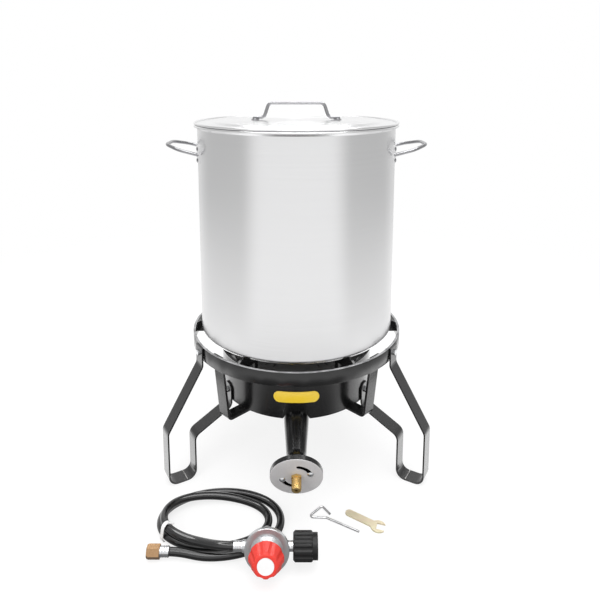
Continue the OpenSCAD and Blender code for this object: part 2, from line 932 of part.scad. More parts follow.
module left_handle_rod() handle_rod(-1);
module right_handle_rod() handle_rod(1);

module handle_rivets() {
    color(steel_bright)
        for (side = [-1, 1])
            at_rivets(side) {
                translate([0, 0, pot_in - 0.5])
                    cylinder(h = plate_r - pot_in + 0.5, r = rivet_r, $fn = 24);
                translate([0, 0, plate_r])
                    cylinder(h = 1.6, r1 = 4, r2 = 2.6, $fn = 24);
                translate([0, 0, pot_in - 1.7])
                    cylinder(h = 1.2, r = 3.6, $fn = 24);
            }
}

module lid_shell() {
    edge_r = rim_r - lid_bead;
    skirt = lid_z - lid_skirt_h;
    color(steel_bright)
        on_stand()
            difference() {
                rotate_extrude($fn = 128) {
                    polygon([
                        [0, lid_flat - lid_t], [lid_step_r - 1, lid_flat - lid_t],
                        [lid_step_r + 2, lid_flat - lid_t - 2.4], [lid_skirt_r - lid_t, lid_z + lid_t],
                        [lid_skirt_r - lid_t, skirt], [lid_skirt_r, skirt],
                        [lid_skirt_r, lid_z + 0.3], [edge_r, lid_z + 0.3], [edge_r, lid_z + 0.3 + lid_t],
                        [lid_skirt_r - 2, lid_z + 2 * lid_t + 0.4],
                        [lid_step_r + 3, lid_flat - 2.4], [lid_step_r, lid_flat], [0, lid_flat]
                    ]);
                    translate([edge_r, lid_z + lid_bead + 0.1])
                        circle(r = lid_bead, $fn = 24);
                }
                at_lid_rivets()
                    translate([0, 0, -5])
                        cylinder(h = 10, r = 1.62, $fn = 24);
            }
}

// Places for the two rivets in each foot of the lid handle
module at_lid_rivets() {
    for (side = [-1, 1], end = [-1, 1])
        translate([side * (lid_foot_x + 2), end * 6.5, lid_flat])
            children();
}

module lid_handle() {
    low = foot_plate_t + rod_d / 2 - 0.5;
    high = lid_handle_h - rod_d / 2;
    heel = lid_foot_x - lid_heel_in;
    bar = lid_foot_x - lid_bar_in;
    color(steel_bright)
        on_stand()
            difference() {
                union() {
                    translate([0, 0, lid_flat])
                        rotate([90, 0, 0])
                            round_rod([
                                [-lid_foot_x - foot_plate_l / 2, low], [-heel, low], [-bar, high],
                                [bar, high], [heel, low], [lid_foot_x + foot_plate_l / 2, low]
                            ], lid_bend, rod_d);
                    for (side = [-1, 1])
                        translate([side * (lid_foot_x + 2), 0, lid_flat + foot_plate_t / 2])
                            cube([foot_plate_l, foot_plate_w, foot_plate_t], center = true);
                }
                at_lid_rivets()
                    translate([0, 0, -1])
                        cylinder(h = 5, r = 1.62, $fn = 24);
            }
}

module lid_rivets() {
    color(steel_bright)
        on_stand()
            at_lid_rivets() {
                translate([0, 0, -lid_t - 0.6])
                    cylinder(h = lid_t + foot_plate_t + 0.6, r = 1.6, $fn = 24);
                translate([0, 0, foot_plate_t])
                    cylinder(h = 1, r1 = 2.7, r2 = 1.8, $fn = 24);
                translate([0, 0, -lid_t - 1.2])
                    cylinder(h = 1.2, r = 2.7, $fn = 24);
            }
}

// The coil's centre line at a turn count, from the front and counterclockwise
function drawn(turn) = coil_draw * (1 - cos(360 * turn / 2.8)) / 2;
function eased(x) = x <= 0 ? 0 : x >= 1 ? 1 : x * x * (3 - 2 * x);
function coil_point(turn) = [
    coil_c.x + (coil_a - drawn(turn)) * cos(360 * turn - 90),
    coil_c.y + (coil_b - drawn(turn)) * sin(360 * turn - 90),
    hose_z + coil_lift * eased((turn - lift_from) / (lift_to - lift_from))
];
coil_steps = round(coil_turns * coil_rings);
coil_line = [for (i = [0 : coil_steps]) coil_point(coil_turns * i / coil_steps)];
coil_exit = unit(coil_line[coil_steps] - coil_line[coil_steps - 1]);
coil_start = coil_line[0] - [hose_d, 0, 0];
coil_end = coil_line[coil_steps] + hose_d * coil_exit;
coil_path = concat([coil_start], coil_line, [coil_end]);
coil_gap = min([for (i = [0 : 2 : coil_steps], j = [i + 14 : coil_steps])
    norm(coil_line[i] - coil_line[j])]) - hose_d;
echo(least_coil_gap = coil_gap);
regulator_path = concat(
    [coil_end + hose_join * coil_exit, coil_end + 2 * coil_exit],
    regulator_route,
    [for (back = [hose_d, 0]) [reg_c.x - port_l - ferrule_l - back, reg_c.y, reg_c.z]]
);

module hose_coil() {
    color([0.1, 0.1, 0.1])
        on_stand()
            tube(coil_path, hose_r, coil_sides);
}

module hose_nut_end() {
    color([0.1, 0.1, 0.1])
        on_stand()
            tube(nut_route, hose_r, 10);
}

module hose_regulator_end() {
    color([0.1, 0.1, 0.1])
        on_stand()
            tube(regulator_path, hose_r, 10);
}

// A band round the two strands at the left of the coil
module hose_tie() {
    low = coil_point(tie_turn);
    high = coil_point(tie_turn + 1);
    run = coil_point(tie_turn + 0.01) - coil_point(tie_turn - 0.01);
    heading = atan2(run.y, run.x) + 90;
    across = (high.x - low.x) * cos(heading) + (high.y - low.y) * sin(heading);
    lean = atan2(high.z - low.z, across);
    gap = norm([across, high.z - low.z]);
    color([0.9, 0.9, 0.9])
        on_stand()
            intersection() {
                translate(low)
                    rotate([90, 0, heading])
                        rotate([0, 0, lean])
                            linear_extrude(tie_w, center = true)
                                difference() {
                                    band(hose_r + tie_gap + tie_t, gap);
                                    band(hose_r + tie_gap, gap);
                                }
                translate([low.x - 50, low.y - 50, 0])
                    cube(100);
            }
}

module band(r, gap) {
    circle(r = r, $fn = 48);
    translate([gap, 0])
        circle(r = r, $fn = 48);
    translate([0, -r])
        square([gap, 2 * r]);
}

module ferrule(l) {
    difference() {
        union() {
            cylinder(h = l, r = ferrule_r);
            for (z = [0.5, l - 2.5])
                translate([0, 0, z])
                    cylinder(h = 2, r = ferrule_r + 0.5);
        }
        translate([0, 0, -1])
            cylinder(h = l + 2, r = 4.5);
    }
}

module nut_ferrule() {
    color(steel_bright)
        on_flare(-ferrule_l)
            ferrule(ferrule_l);
}

module regulator_ferrule() {
    color(steel_bright)
        on_ports(-port_l - ferrule_l)
            ferrule(ferrule_l);
}

module flare_nut() {
    color(brass_yellow)
        on_flare(-ferrule_l - flare_nut_l - seat_gap)
            difference() {
                intersection() {
                    hexagon(flare_nut_af, flare_nut_l);
                    cylinder(h = flare_nut_l, r1 = flare_nut_af / 2 + 0.4, r2 = flare_nut_af / 2 + 8);
                }
                translate([0, 0, -1])
                    cylinder(h = flare_thread_l + 1, r = flare_thread_r);
                translate([0, 0, flare_thread_l])
                    cylinder(h = flare_nut_l - 4 - flare_thread_l, r = flare_thread_r + thread_relief);
                cylinder(h = flare_nut_l + 1, r = 5 + run_fit);
            }
}

module flare_stem() {
    back = ferrule_l + seat_gap;
    color(brass_yellow)
        on_flare(0)
            difference() {
                union() {
                    translate([0, 0, -back - 4.3])
                        cylinder(h = back + 4.3, r = 5);
                    translate([0, 0, -ferrule_l])
                        cylinder(h = ferrule_l, r = 4.5);
                    translate([0, 0, -back - 7.6])
                        cylinder(h = 3.3, r1 = 4, r2 = flare_thread_r - 0.4);
                }
                translate([0, 0, -back - 10])
                    cylinder(h = 40, r = 2.5, $fn = 32);
                translate([0, 0, -ferrule_l])
                    difference() {
                        cylinder(h = ferrule_l + 1, r = 8);
                        translate([0, 0, -1])
                            cylinder(h = ferrule_l + 3, r = 4.5);
                    }
            }
}

module regulator_body() {
    color([0.68, 0.69, 0.71])
        difference() {
            union() {
                on_regulator() {
                    rotate_extrude()
                        polygon([
                            [0, -16], [14, -16], [20, -12], [24, -4], [26, flange_back - 1],
                            [flange_r, flange_back], [flange_r, flange_back + flange_t / 2],
                            [0, flange_back + flange_t / 2]
                        ]);
                }
                at_bonnet_screws()
                    translate([0, 0, -boss_h])
                        cylinder(h = boss_h - 1.5, r = 3.6, $fn = 32);
                on_ports(-port_l)
                    cylinder(h = port_l, r = 9);
                on_ports(0)
                    cylinder(h = 28, r = 10);
            }
            on_ports(-port_l - 1)
                cylinder(h = 26, r = 4);
            on_ports(8)
                cylinder(h = 25, r = neck_r + 0.02);
            on_regulator()
                translate([0, 0, flange_back - 4])
                    cylinder(h = 20, r = 22);
            at_bonnet_screws()
                translate([0, 0, -boss_h - 1])
                    cylinder(h = boss_h + 2, r = bonnet_screw_r + 0.02, $fn = 24);
        }
}

module at_bonnet_screws() {
    on_regulator()
        for (a = [30 : 60 : 330])
            rotate([0, 0, a])
                translate([flange_r - bonnet_screw_at, 0, flange_back + flange_t / 2])
                    children();
}

module bonnet_screws() {
    color(steel_bright)
        at_bonnet_screws() {
            translate([0, 0, -boss_h - 1])
                cylinder(h = boss_h + 1 + screw_bite, r = bonnet_screw_r, $fn = 24);
            translate([0, 0, -boss_h - 2.2])
                cylinder(h = 2, r = 3.2, $fn = 32);
        }
}

module regulator_bonnet() {
    front = flange_back + flange_t / 2;
    color([0.74, 0.75, 0.77])
        difference() {
            on_regulator()
                rotate_extrude()
                    polygon([
                        [18, front], [flange_r, front], [flange_r, front + 2.4], [flange_r - 0.6, front + 3],
                        [25, front + 3], [25, front + 6], [22, front + 14], [17, front + 16],
                        [screw_r + run_fit, front + 16], [screw_r + run_fit, front + 13.5],
                        [16, front + 13], [19.5, front + 8], [18, front + 2]
                    ]);
            at_bonnet_screws()
                translate([0, 0, -1])
                    cylinder(h = 1 + screw_bite + 0.1, r = bonnet_screw_r + 0.02, $fn = 24);
        }
}

module diaphragm() {
    color([0.2, 0.2, 0.2])
        on_regulator()
            translate([0, 0, flange_back + flange_t / 2 - 1.5])
                cylinder(h = 1, r = 21.7);
}

// The pressure spring as a plain sleeve
module pressure_spring() {
    front = flange_back + flange_t / 2;
    color(steel_bright)
        on_regulator()
            translate([0, 0, front - 0.5])
                difference() {
                    cylinder(h = 9, r = 9);
                    translate([0, 0, -1])
                        cylinder(h = 11, r = 7);
                }
}

module adjusting_screw() {
    front = flange_back + flange_t / 2;
    color(brass_yellow)
        on_regulator() {
            translate([0, 0, front + 8.5])
                cylinder(h = 2.5, r = 10);
            translate([0, 0, front + 11])
                cylinder(h = knob_back + knob_h - 7 - front - 11, r = screw_r);
        }
}

// A tapering knob with finger grooves
module adjusting_knob() {
    grooves = 8;
    groove_r = 12;
    groove_depth = 1.6;
    brim_r = knob_d / 2 - 1;
    slope = atan2(brim_r - knob_neck_r, knob_h - 2.5 - knob_brim);
    reach = groove_r - groove_depth;
    color([0.86, 0.12, 0.08])
        on_regulator()
            difference() {
                translate([0, 0, knob_back])
                    rotate_extrude()
                        polygon([
                            [screw_r, 0], [brim_r, 0], [knob_d / 2, 1.5], [brim_r, knob_brim],
                            [knob_neck_r, knob_h - 2.5], [knob_front_r, knob_h], [0, knob_h],
                            [0, knob_h - 7],
                            [screw_r, knob_h - 7]
                        ]);
                for (i = [0 : grooves - 1])
                    rotate([0, 0, 360 * (i + 0.5) / grooves])
                        translate([
                            brim_r + reach * cos(slope), 0,
                            knob_back + knob_brim + reach * sin(slope)
                        ])
                            rotate([0, -slope, 0])
                                cylinder(h = 4 * knob_h, r = groove_r, center = true, $fn = 48);
                translate([0, 0, knob_back + knob_h - 1])
                    cylinder(h = 2, r = knob_cap_r + seat_gap);
            }
}

module knob_cap() {
    color([0.93, 0.93, 0.93])
        on_regulator()
            translate([0, 0, knob_back + knob_h - 1])
                cylinder(h = 1.6, r = knob_cap_r);
}

// The steel neck with the collar and nose that the handwheel turns on
module inlet_stem() {
    color(steel_bright)
        difference() {
            union() {
                on_ports(14)
                    cylinder(h = wheel_x + 6.2 - 14, r = neck_r);
                on_ports(wheel_x + 6.2)
                    cylinder(h = 4, r = 13);
                on_ports(wheel_x + 10)
                    cylinder(h = 9, r1 = 8, r2 = 6);
            }
            on_ports(12)
                cylinder(h = 60, r = 3);
        }
}

module coupling_handwheel() {
    grooves = 12;
    wheel_r = wheel_d / 2;
    color([0.12, 0.12, 0.13])
        on_ports(wheel_x)
            difference() {
                rotate_extrude()
                    polygon([
                        [0, 0], [wheel_r - 3, 0], [wheel_r, 3], [wheel_r, wheel_l - 10],
                        [wheel_r - 1.5, wheel_l - 8], [wheel_r - 2.5, wheel_l - 8],
                        [wheel_r - 2.5, wheel_l], [0, wheel_l]
                    ]);
                for (i = [0 : grooves - 1])
                    rotate([0, 0, 360 * i / grooves])
                        translate([wheel_r + 3.2, 0, 1.5])
                            cylinder(h = wheel_l - 10, r = 5, $fn = 32);
                translate([0, 0, -1])
                    cylinder(h = 10, r = neck_r + run_fit);
                translate([0, 0, wheel_l - valve_thread_l])
                    cylinder(h = valve_thread_l + 1, r = valve_thread_r);
                translate([0, 0, 5.8])
                    cylinder(h = wheel_l - valve_thread_l - 5.8, r = valve_thread_r + thread_relief);
            }
}

// A bent wire with a three cornered grip and a straight shaft
module wire_key() {
    color([0.6, 0.6, 0.62])
        on_stand()
            translate([0, 0, key_d / 2])
                round_rod([[104, -260], [51, -229], [20, -228], [45, -202], [58, -221]], 4, key_d);
}

module open_wrench() {
    head_r = 13;
    color([0.82, 0.78, 0.4])
        on_stand()
            translate([137.5, -249, 0])
                rotate([0, 0, 146])
                    difference() {
                        linear_extrude(wrench_t) {
                            circle(r = head_r, $fn = 64);
                            translate([0, -7])
                                square([wrench_l - 7, 14]);
                            translate([wrench_l - 7, 0])
                                circle(r = 7, $fn = 48);
                        }
                        rotate([0, 0, 15])
                            translate([-head_r * 2 + 3, -jaw_w / 2, -1])
                                cube([head_r * 2, jaw_w, wrench_t + 2]);
                    }
}

top_ring();
pot_rest(0);  // pot_rest_1
pot_rest(1);  // pot_rest_2
pot_rest(2);  // pot_rest_3
pot_rest(3);  // pot_rest_4
pot_rest(4);  // pot_rest_5
pot_rest(5);  // pot_rest_6
lower_strap();
upper_strap();
windscreen_drum();
rating_plate();
front_left_leg();
front_right_leg();
rear_leg();
ring_bolts();
ring_nuts();
drum_bolts();
drum_nuts();
burner_bowl();
burner_cap();
cap_screw();
burner_bolts();
venturi_mixer();
air_shutter();
shutter_screws();
gas_inlet();
inlet_locknut();
pot_shell();
left_handle_rod();
right_handle_rod();
left_handle_plates();
right_handle_plates();
handle_rivets();
lid_shell();
lid_handle();
lid_rivets();
hose_coil();
hose_nut_end();
hose_regulator_end();
hose_tie();
nut_ferrule();
regulator_ferrule();
flare_nut();
flare_stem();
regulator_body();
regulator_bonnet();
bonnet_screws();
diaphragm();
pressure_spring();
adjusting_screw();
adjusting_knob();
knob_cap();
inlet_stem();
coupling_handwheel();
wire_key();
open_wrench();
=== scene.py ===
# %% [markdown]
# # An outdoor gas burner with its pot, hose and tools
#
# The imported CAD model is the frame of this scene. Each of its nodes already has the right shape and
# place, so the work here is mostly finish: black paint, cast iron, brushed and polished steel, brass,
# rubber and moulded plastic. A few pieces that a solid modeller draws too plainly, such as the hose,
# the threads and the welds, are worked out again as numpy surfaces.

# %% Load the frame
import json
import math

import bpy
import numpy as np
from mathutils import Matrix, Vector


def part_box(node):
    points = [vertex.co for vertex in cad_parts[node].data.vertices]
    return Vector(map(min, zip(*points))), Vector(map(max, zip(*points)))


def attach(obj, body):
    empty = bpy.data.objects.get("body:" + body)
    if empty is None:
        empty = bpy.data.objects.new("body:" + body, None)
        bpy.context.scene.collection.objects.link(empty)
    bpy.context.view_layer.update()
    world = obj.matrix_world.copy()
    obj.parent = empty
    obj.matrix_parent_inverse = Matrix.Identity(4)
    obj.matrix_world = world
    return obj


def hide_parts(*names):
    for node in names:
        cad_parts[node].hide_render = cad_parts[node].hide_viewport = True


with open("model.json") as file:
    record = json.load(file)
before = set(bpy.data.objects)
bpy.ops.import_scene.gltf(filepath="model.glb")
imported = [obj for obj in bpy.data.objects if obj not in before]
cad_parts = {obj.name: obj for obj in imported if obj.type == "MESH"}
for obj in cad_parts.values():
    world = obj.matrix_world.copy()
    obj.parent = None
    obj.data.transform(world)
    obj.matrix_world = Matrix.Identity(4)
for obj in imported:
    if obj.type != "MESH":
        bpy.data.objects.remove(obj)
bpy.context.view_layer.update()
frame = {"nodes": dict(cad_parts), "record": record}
nodes = frame["nodes"]
MM = 0.001

# %% [markdown]
# ## Where the stand is
#
# The stand is measured in millimetres about its own upright axis, as on a drawing. That axis is not
# quite at the frame's origin, which is the middle of the whole set's box. Its place could be typed in,
# but the pot is round about the same axis, so the middle of the pot's box always gives it.

# %% The stand's axis
pot_low, pot_high = (np.array(c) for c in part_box("pot_shell"))
AXIS_Y = float(pot_low[1] + pot_high[1]) / 2


def from_axis(points_mm):
    """Points in millimetres about the stand's axis, as metres in the frame: p MM + (0, AXIS_Y, 0)."""
    return points_mm * MM + [0, AXIS_Y, 0]


print("axis y in mm:", round(AXIS_Y / MM, 3))

# %% [markdown]
# ## The camera
#
# The photograph looks down a little from the height of the lid. A camera that simply pointed down
# would make the pot's sides lean together. A lens shift takes up most of the downward look instead,
# as on a view camera, so the sides stay nearly upright, and a small tilt does the rest.

# %% Camera
CAMERA_DISTANCE = 1.1107
CAMERA_HEIGHT = 0.7451
CAMERA_PITCH = math.radians(9)
FOCAL_PX, FRAME_PX = 575.7, 600
CENTRE_U, CENTRE_V = 296.4, 169.7

camera_data = bpy.data.cameras.new("camera")
camera_data.sensor_width = 36
camera_data.lens = FOCAL_PX / FRAME_PX * camera_data.sensor_width
camera_data.shift_x = (FRAME_PX / 2 - CENTRE_U) / FRAME_PX
camera_data.shift_y = -(FRAME_PX / 2 - CENTRE_V) / FRAME_PX
camera = bpy.data.objects.new("camera", camera_data)
camera.location = (0, AXIS_Y - CAMERA_DISTANCE, CAMERA_HEIGHT)
camera.rotation_euler = (math.pi / 2 - CAMERA_PITCH, 0, 0)
bpy.context.scene.collection.objects.link(camera)
bpy.context.scene.camera = camera
bpy.context.scene.view_settings.view_transform = "Standard"
print("lens in mm:", round(camera_data.lens, 2), "shift:", round(camera_data.shift_y, 3))

# %% [markdown]
# ## Surfaces from grids
#
# Every new piece here is a grid of points: rows along a path or a profile, columns round it. Curves
# with a bevel would do for some of them, but a grid gives every point by a formula, and all of them at
# once. One helper turns such a grid into a closed mesh whose faces point outwards.

# %% Grid surfaces


def grid_mesh(name, grid):
    """Closed mesh of a grid of points with shape (rows, columns, 3), in metres.

    Face (i, j) joins points (i, j), (i, j+1), (i+1, j+1) and (i+1, j), and the first column comes
    after the last. One flat face closes the first row and one the last. Faces point outwards where
    the columns run from side to up about the way ahead.
    """
    rows, columns, _ = grid.shape
    i, j = np.meshgrid(np.arange(rows - 1), np.arange(columns), indexing="ij")
    k = (j + 1) % columns
    quads = np.stack([i * columns + j, i * columns + k, (i + 1) * columns + k, (i + 1) * columns + j], -1)
    ends = [np.arange(columns)[::-1], np.arange(columns) + (rows - 1) * columns]
    faces = quads.reshape(-1, 4).tolist() + [end.tolist() for end in ends]
    mesh = bpy.data.meshes.new(name)
    mesh.from_pydata(grid.reshape(-1, 3).tolist(), [], faces)
    smooth = np.ones(len(faces), dtype=bool)
    smooth[-len(ends):] = False
    mesh.polygons.foreach_set("use_smooth", smooth)
    mesh.update()
    piece = bpy.data.objects.new(name, mesh)
    bpy.context.scene.collection.objects.link(piece)
    return piece


def tube_grid(path, radius, sides=24):
    """Points p(s, a) = path(s) + r(s) (cos a side + sin a up), for a radius that may change along it.

    Side is level and square to the way ahead, and up is square to both.
    """
    ahead = np.gradient(path, axis=0)
    ahead /= np.linalg.norm(ahead, axis=1, keepdims=True)
    side = np.cross([0, 0, 1], ahead)
    side /= np.linalg.norm(side, axis=1, keepdims=True)
    up = np.cross(ahead, side)
    a = np.linspace(0, 2 * np.pi, sides, endpoint=False)
    r = np.broadcast_to(radius, len(path))[:, None, None]
    ring = np.cos(a)[None, :, None] * side[:, None] + np.sin(a)[None, :, None] * up[:, None]
    return path[:, None] + r * ring


def turned_grid(start, end, radius, side, sides):
    """Points p(x, a) = start + x (end - start) + r(x) (cos a side + sin a up), a straight lathe."""
    start, end, side = (np.array(v, float) for v in (start, end, side))
    up = np.cross((end - start) / np.linalg.norm(end - start), side)
    x = np.linspace(0, 1, len(radius))
    path = start + x[:, None] * (end - start)
    a = np.linspace(0, 2 * np.pi, sides, endpoint=False)[None, :, None]
    return path[:, None] + radius[:, None, None] * (np.cos(a) * side + np.sin(a) * up)


sample = turned_grid((0, 0, 0), (10, 0, 0), np.full(5, 2.0), (0, 0, 1), 12)
print("a lathe of 5 rings of 12 has the grid", sample.shape)

# %% [markdown]
# ## The way of a curve
#
# A hose bends smoothly, and straight lines between a few measured points on it don't. A spline through
# the points is better, but its bend still changes in small jumps. Averaging its points with Gaussian
# weights eases them, as the stiffness of real rubber does.

# %% Smooth paths
SPLINE_STEPS = 24


def smooth_path(points, count):
    """Points an even distance apart on a Catmull-Rom spline through the given ones.

    Between b and c, with neighbours a and d, the curve is half of
    2b + (c - a) u + (2a - 5b + 4c - d) u^2 + (3b - a - 3c + d) u^3.
    """
    p = np.asarray(points, float)
    p = np.vstack([2 * p[0] - p[1], p, 2 * p[-1] - p[-2]])
    t = np.linspace(0, len(p) - 3, SPLINE_STEPS * len(p))
    i = np.minimum(t.astype(int), len(p) - 4)
    u = (t - i)[:, None]
    a, b, c, d = p[i], p[i + 1], p[i + 2], p[i + 3]
    bend = (2 * a - 5 * b + 4 * c - d) * u**2 + (3 * b - a - 3 * c + d) * u**3
    curve = 0.5 * (2 * b + (c - a) * u + bend)
    run = np.concatenate([[0], np.cumsum(np.linalg.norm(np.diff(curve, axis=0), axis=1))])
    even = np.linspace(0, run[-1], count)
    return np.stack([np.interp(even, run, curve[:, k]) for k in range(3)], 1)


def eased(path, sigma):
    """Path averaged with Gaussian weights. It is first turned about each end point, so the ends stay."""
    reach = 4 * sigma
    before = 2 * path[0] - path[reach:0:-1]
    after = 2 * path[-1] - path[-2:-reach - 2:-1]
    longer = np.vstack([before, path, after])
    weight = np.exp(-0.5 * (np.arange(-reach, reach + 1) / sigma) ** 2)
    weight /= weight.sum()
    return np.stack([np.convolve(longer[:, k], weight, "valid") for k in range(3)], 1)


corner = eased(smooth_path([(0, 0, 0), (50, 0, 0), (50, 50, 0)], 101), 5)
print("a square corner is cut by mm:", round(float(np.linalg.norm(corner - [50, 0, 0], axis=1).min()), 1))

# %% [markdown]
# ## The hose's coil
#
# The hose is one length of black rubber, 13 mm thick. It makes nearly two oval turns on the floor, and
# the second climbs over the first on the left. Its route repeats the points of the CAD source, so it
# lies where the solids lie. A simulation could drop it there, but the photograph fixes its way.

# %% The coil's middle line
HOSE_R, HOSE_LIFT = 6.5, 0.5
COIL_CENTRE = (-133, -242)
COIL_A, COIL_B, COIL_DRAW, DRAW_TURNS = 110, 75, 22, 2.8
COIL_TURNS, COIL_POINTS = 1.92, 93
CLIMB, CLIMB_FROM, CLIMB_TURNS = 13.7, 1.38, 0.34


def coil_points(turn):
    """The coil's middle line: an oval that draws in and out, and climbs once in its second turn.

    x = A' cos a, y = B' sin a with a = 2 pi turn - pi / 2, both half widths less by
    DRAW (1 - cos(2 pi turn / DRAW_TURNS)) / 2, and a smoothstep of height.
    """
    draw = COIL_DRAW * (1 - np.cos(2 * np.pi * turn / DRAW_TURNS)) / 2
    a = 2 * np.pi * turn - np.pi / 2
    x = np.clip((turn - CLIMB_FROM) / CLIMB_TURNS, 0, 1)
    lift = CLIMB * x * x * (3 - 2 * x)
    return np.stack([COIL_CENTRE[0] + (COIL_A - draw) * np.cos(a),
                     COIL_CENTRE[1] + (COIL_B - draw) * np.sin(a), HOSE_R + HOSE_LIFT + lift], -1)


coil = coil_points(np.linspace(0, COIL_TURNS, COIL_POINTS))
coil_heading = (coil[-1] - coil[-2]) / np.linalg.norm(coil[-1] - coil[-2])
print("the coil is", round(float(np.ptp(coil[:, 0]))), "by", round(float(np.ptp(coil[:, 1]))), "mm")

# %% [markdown]
# ## The hose's two ends
#
# One end runs along the floor into the ferrule of the brass nut. The other rises from the top of the
# coil to the port of the regulator, which leans back a little, and goes in level. A hose leaves a
# fitting straight, so the last point before each ferrule lies on the fitting's own line, one hose's
# thickness away. The nut lies on one of its corners, which gives the height of its middle.

# %% The hose's route
STRAIGHT = 13
REG_X, REG_Y, REG_HEIGHT, REG_LEAN = -45, -324, 34.5, math.radians(10)
PORT_DROP, PORT_LENGTH, FERRULE_LENGTH = 8, 38, 14
REG_Z = REG_HEIGHT * math.cos(REG_LEAN) - PORT_DROP * math.sin(REG_LEAN)
NUT_X, NUT_Y, NUT_HALF_WIDTH = -200, -311, 9.5
NUT_Z = NUT_HALF_WIDTH / math.cos(math.radians(30))

port_x = REG_X - PORT_LENGTH
hose_end_x = port_x - FERRULE_LENGTH
nut_tail = [[NUT_X, NUT_Y, NUT_Z], [NUT_X + STRAIGHT, NUT_Y, NUT_Z], [-176, -312, 10.3],
            [-164, -314.5, 8.7], [-153, -316.5, 7.4], [-146, -317, HOSE_R + HOSE_LIFT]]
regulator_tail = [[-150, -305, 22.3], [-137.5, -313, 26], [-124, -320, 30.5],
                  [hose_end_x - STRAIGHT, REG_Y, REG_Z], [hose_end_x, REG_Y, REG_Z]]
route = np.vstack([nut_tail, coil, coil[-1] + STRAIGHT * coil_heading, regulator_tail])
print("route points:", len(route))

# %% [markdown]
# ## The hose's surface
#
# The hose is a circle carried along its route. A bevelled curve would do, but the same points also give
# the length and the place where the hose leaves the regulator.

# %% The hose
HOSE_ROWS, HOSE_SIDES, EASE = 420, 28, 5

hose_path = from_axis(eased(smooth_path(route, HOSE_ROWS), EASE)[::-1])
hose = grid_mesh("hose", tube_grid(hose_path, HOSE_R * MM, HOSE_SIDES))
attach(hose, "hose_set")
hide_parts("hose_coil", "hose_nut_end", "hose_regulator_end")

# %% [markdown]
# ## Shader tools
#
# A material here is a small node tree. It could be drawn by hand in the shader editor, but in a script
# each finish has to read as a short list of what feeds what. These helpers add a node, set its sockets
# and link it, all in one line.

# %% Node helpers


def feed(tree, node, inputs):
    """Set a node's inputs by name or number. A value is set, and a socket is linked."""
    for key, value in inputs.items():
        if isinstance(value, bpy.types.NodeSocket):
            tree.links.new(value, node.inputs[key])
        else:
            node.inputs[key].default_value = value
    return node


def add(tree, kind, inputs=None, **settings):
    """A new node of that kind, with its settings and inputs."""
    node = tree.nodes.new(kind)
    for key, value in settings.items():
        setattr(node, key, value)
    return feed(tree, node, inputs or {})


def math_node(tree, operation, a, b=0.0):
    return add(tree, "ShaderNodeMath", {0: a, 1: b}, operation=operation).outputs[0]


def times(tree, a, b):
    return math_node(tree, "MULTIPLY", a, b)


def noise(tree, vector, scale, detail=3.0, roughness=0.55, distortion=0.0):
    values = {"Vector": vector, "Scale": scale, "Detail": detail, "Roughness": roughness,
              "Distortion": distortion}
    return add(tree, "ShaderNodeTexNoise", values).outputs["Fac"]


def band(tree, value, low, high, to_low, to_high):
    """Smoothstep of a value: to_low at low and beyond, to_high at high and beyond."""
    values = {"Value": value, "From Min": low, "From Max": high, "To Min": to_low, "To Max": to_high}
    return add(tree, "ShaderNodeMapRange", values, interpolation_type="SMOOTHSTEP").outputs[0]


def mix_colour(tree, factor, a, b):
    values = {"Factor": factor, "A": a, "B": b}
    return add(tree, "ShaderNodeMix", values, data_type="RGBA").outputs["Result"]


def new_group(name, inputs, outputs):
    """An empty node group with inputs given as (name, value), where None is a vector, and float outputs."""
    tree = bpy.data.node_groups.new(name, "ShaderNodeTree")
    for title, value in inputs:
        kind = "NodeSocketVector" if value is None else "NodeSocketFloat"
        socket = tree.interface.new_socket(title, in_out="INPUT", socket_type=kind)
        if value is not None:
            socket.default_value = value
    for title in outputs:
        tree.interface.new_socket(title, in_out="OUTPUT", socket_type="NodeSocketFloat")
    return tree, tree.nodes.new("NodeGroupInput"), tree.nodes.new("NodeGroupOutput")


def use_group(tree, group, values):
    """A shared effect, placed in a material or a world with its own values."""
    node = tree.nodes.new("ShaderNodeGroup")
    node.node_tree = group
    return feed(tree, node, values)


print("node helpers: feed, add, math_node, times, noise, band, mix_colour, new_group, use_group")

# %% [markdown]
# ## Brush lines and grain
#
# Rolled and brushed steel has fine lines one way, and a casting or a paint film has a fine pebble. Both
# could be painted as textures, but noise needs no unwrapping and looks right at any distance. Each is
# a group that mixes a fine noise with a broad one, so every finish sets its own scale and amount. A
# noise is given here by its scale, its detail and its roughness.

# %% Brush and grain groups
BRUSH_FINE, BRUSH_BROAD, BRUSH_SHARE = (1.0, 4.0, 0.7), (0.17, 2.0, 0.5), 0.65
GRAIN_FINE, GRAIN_BROAD, GRAIN_SHARE = (4.0, 0.6), (60.0, 2.0), 0.75


def put_relief(tree, inside, outside, fine, broad, share):
    """Height = Amount (share fine + (1 - share) broad - 1/2), and Tone = Height + 1/2."""
    mixed = math_node(tree, "ADD", times(tree, fine, share), times(tree, broad, 1 - share))
    height = times(tree, math_node(tree, "SUBTRACT", mixed, 0.5), inside.outputs["Amount"])
    feed(tree, outside, {"Height": height, "Tone": math_node(tree, "ADD", height, 0.5)})
    return tree


def brush_group():
    """Lines from noise on coordinates that are stretched by a vector: large numbers across the lines."""
    tree, inside, outside = new_group(
        "brush lines", [("Place", None), ("Stretch", None), ("Amount", 1.0)], ["Height", "Tone"])
    place = add(tree, "ShaderNodeVectorMath", {0: inside.outputs["Place"], 1: inside.outputs["Stretch"]},
                operation="MULTIPLY").outputs[0]
    return put_relief(tree, inside, outside, noise(tree, place, *BRUSH_FINE),
                      noise(tree, place, *BRUSH_BROAD), BRUSH_SHARE)


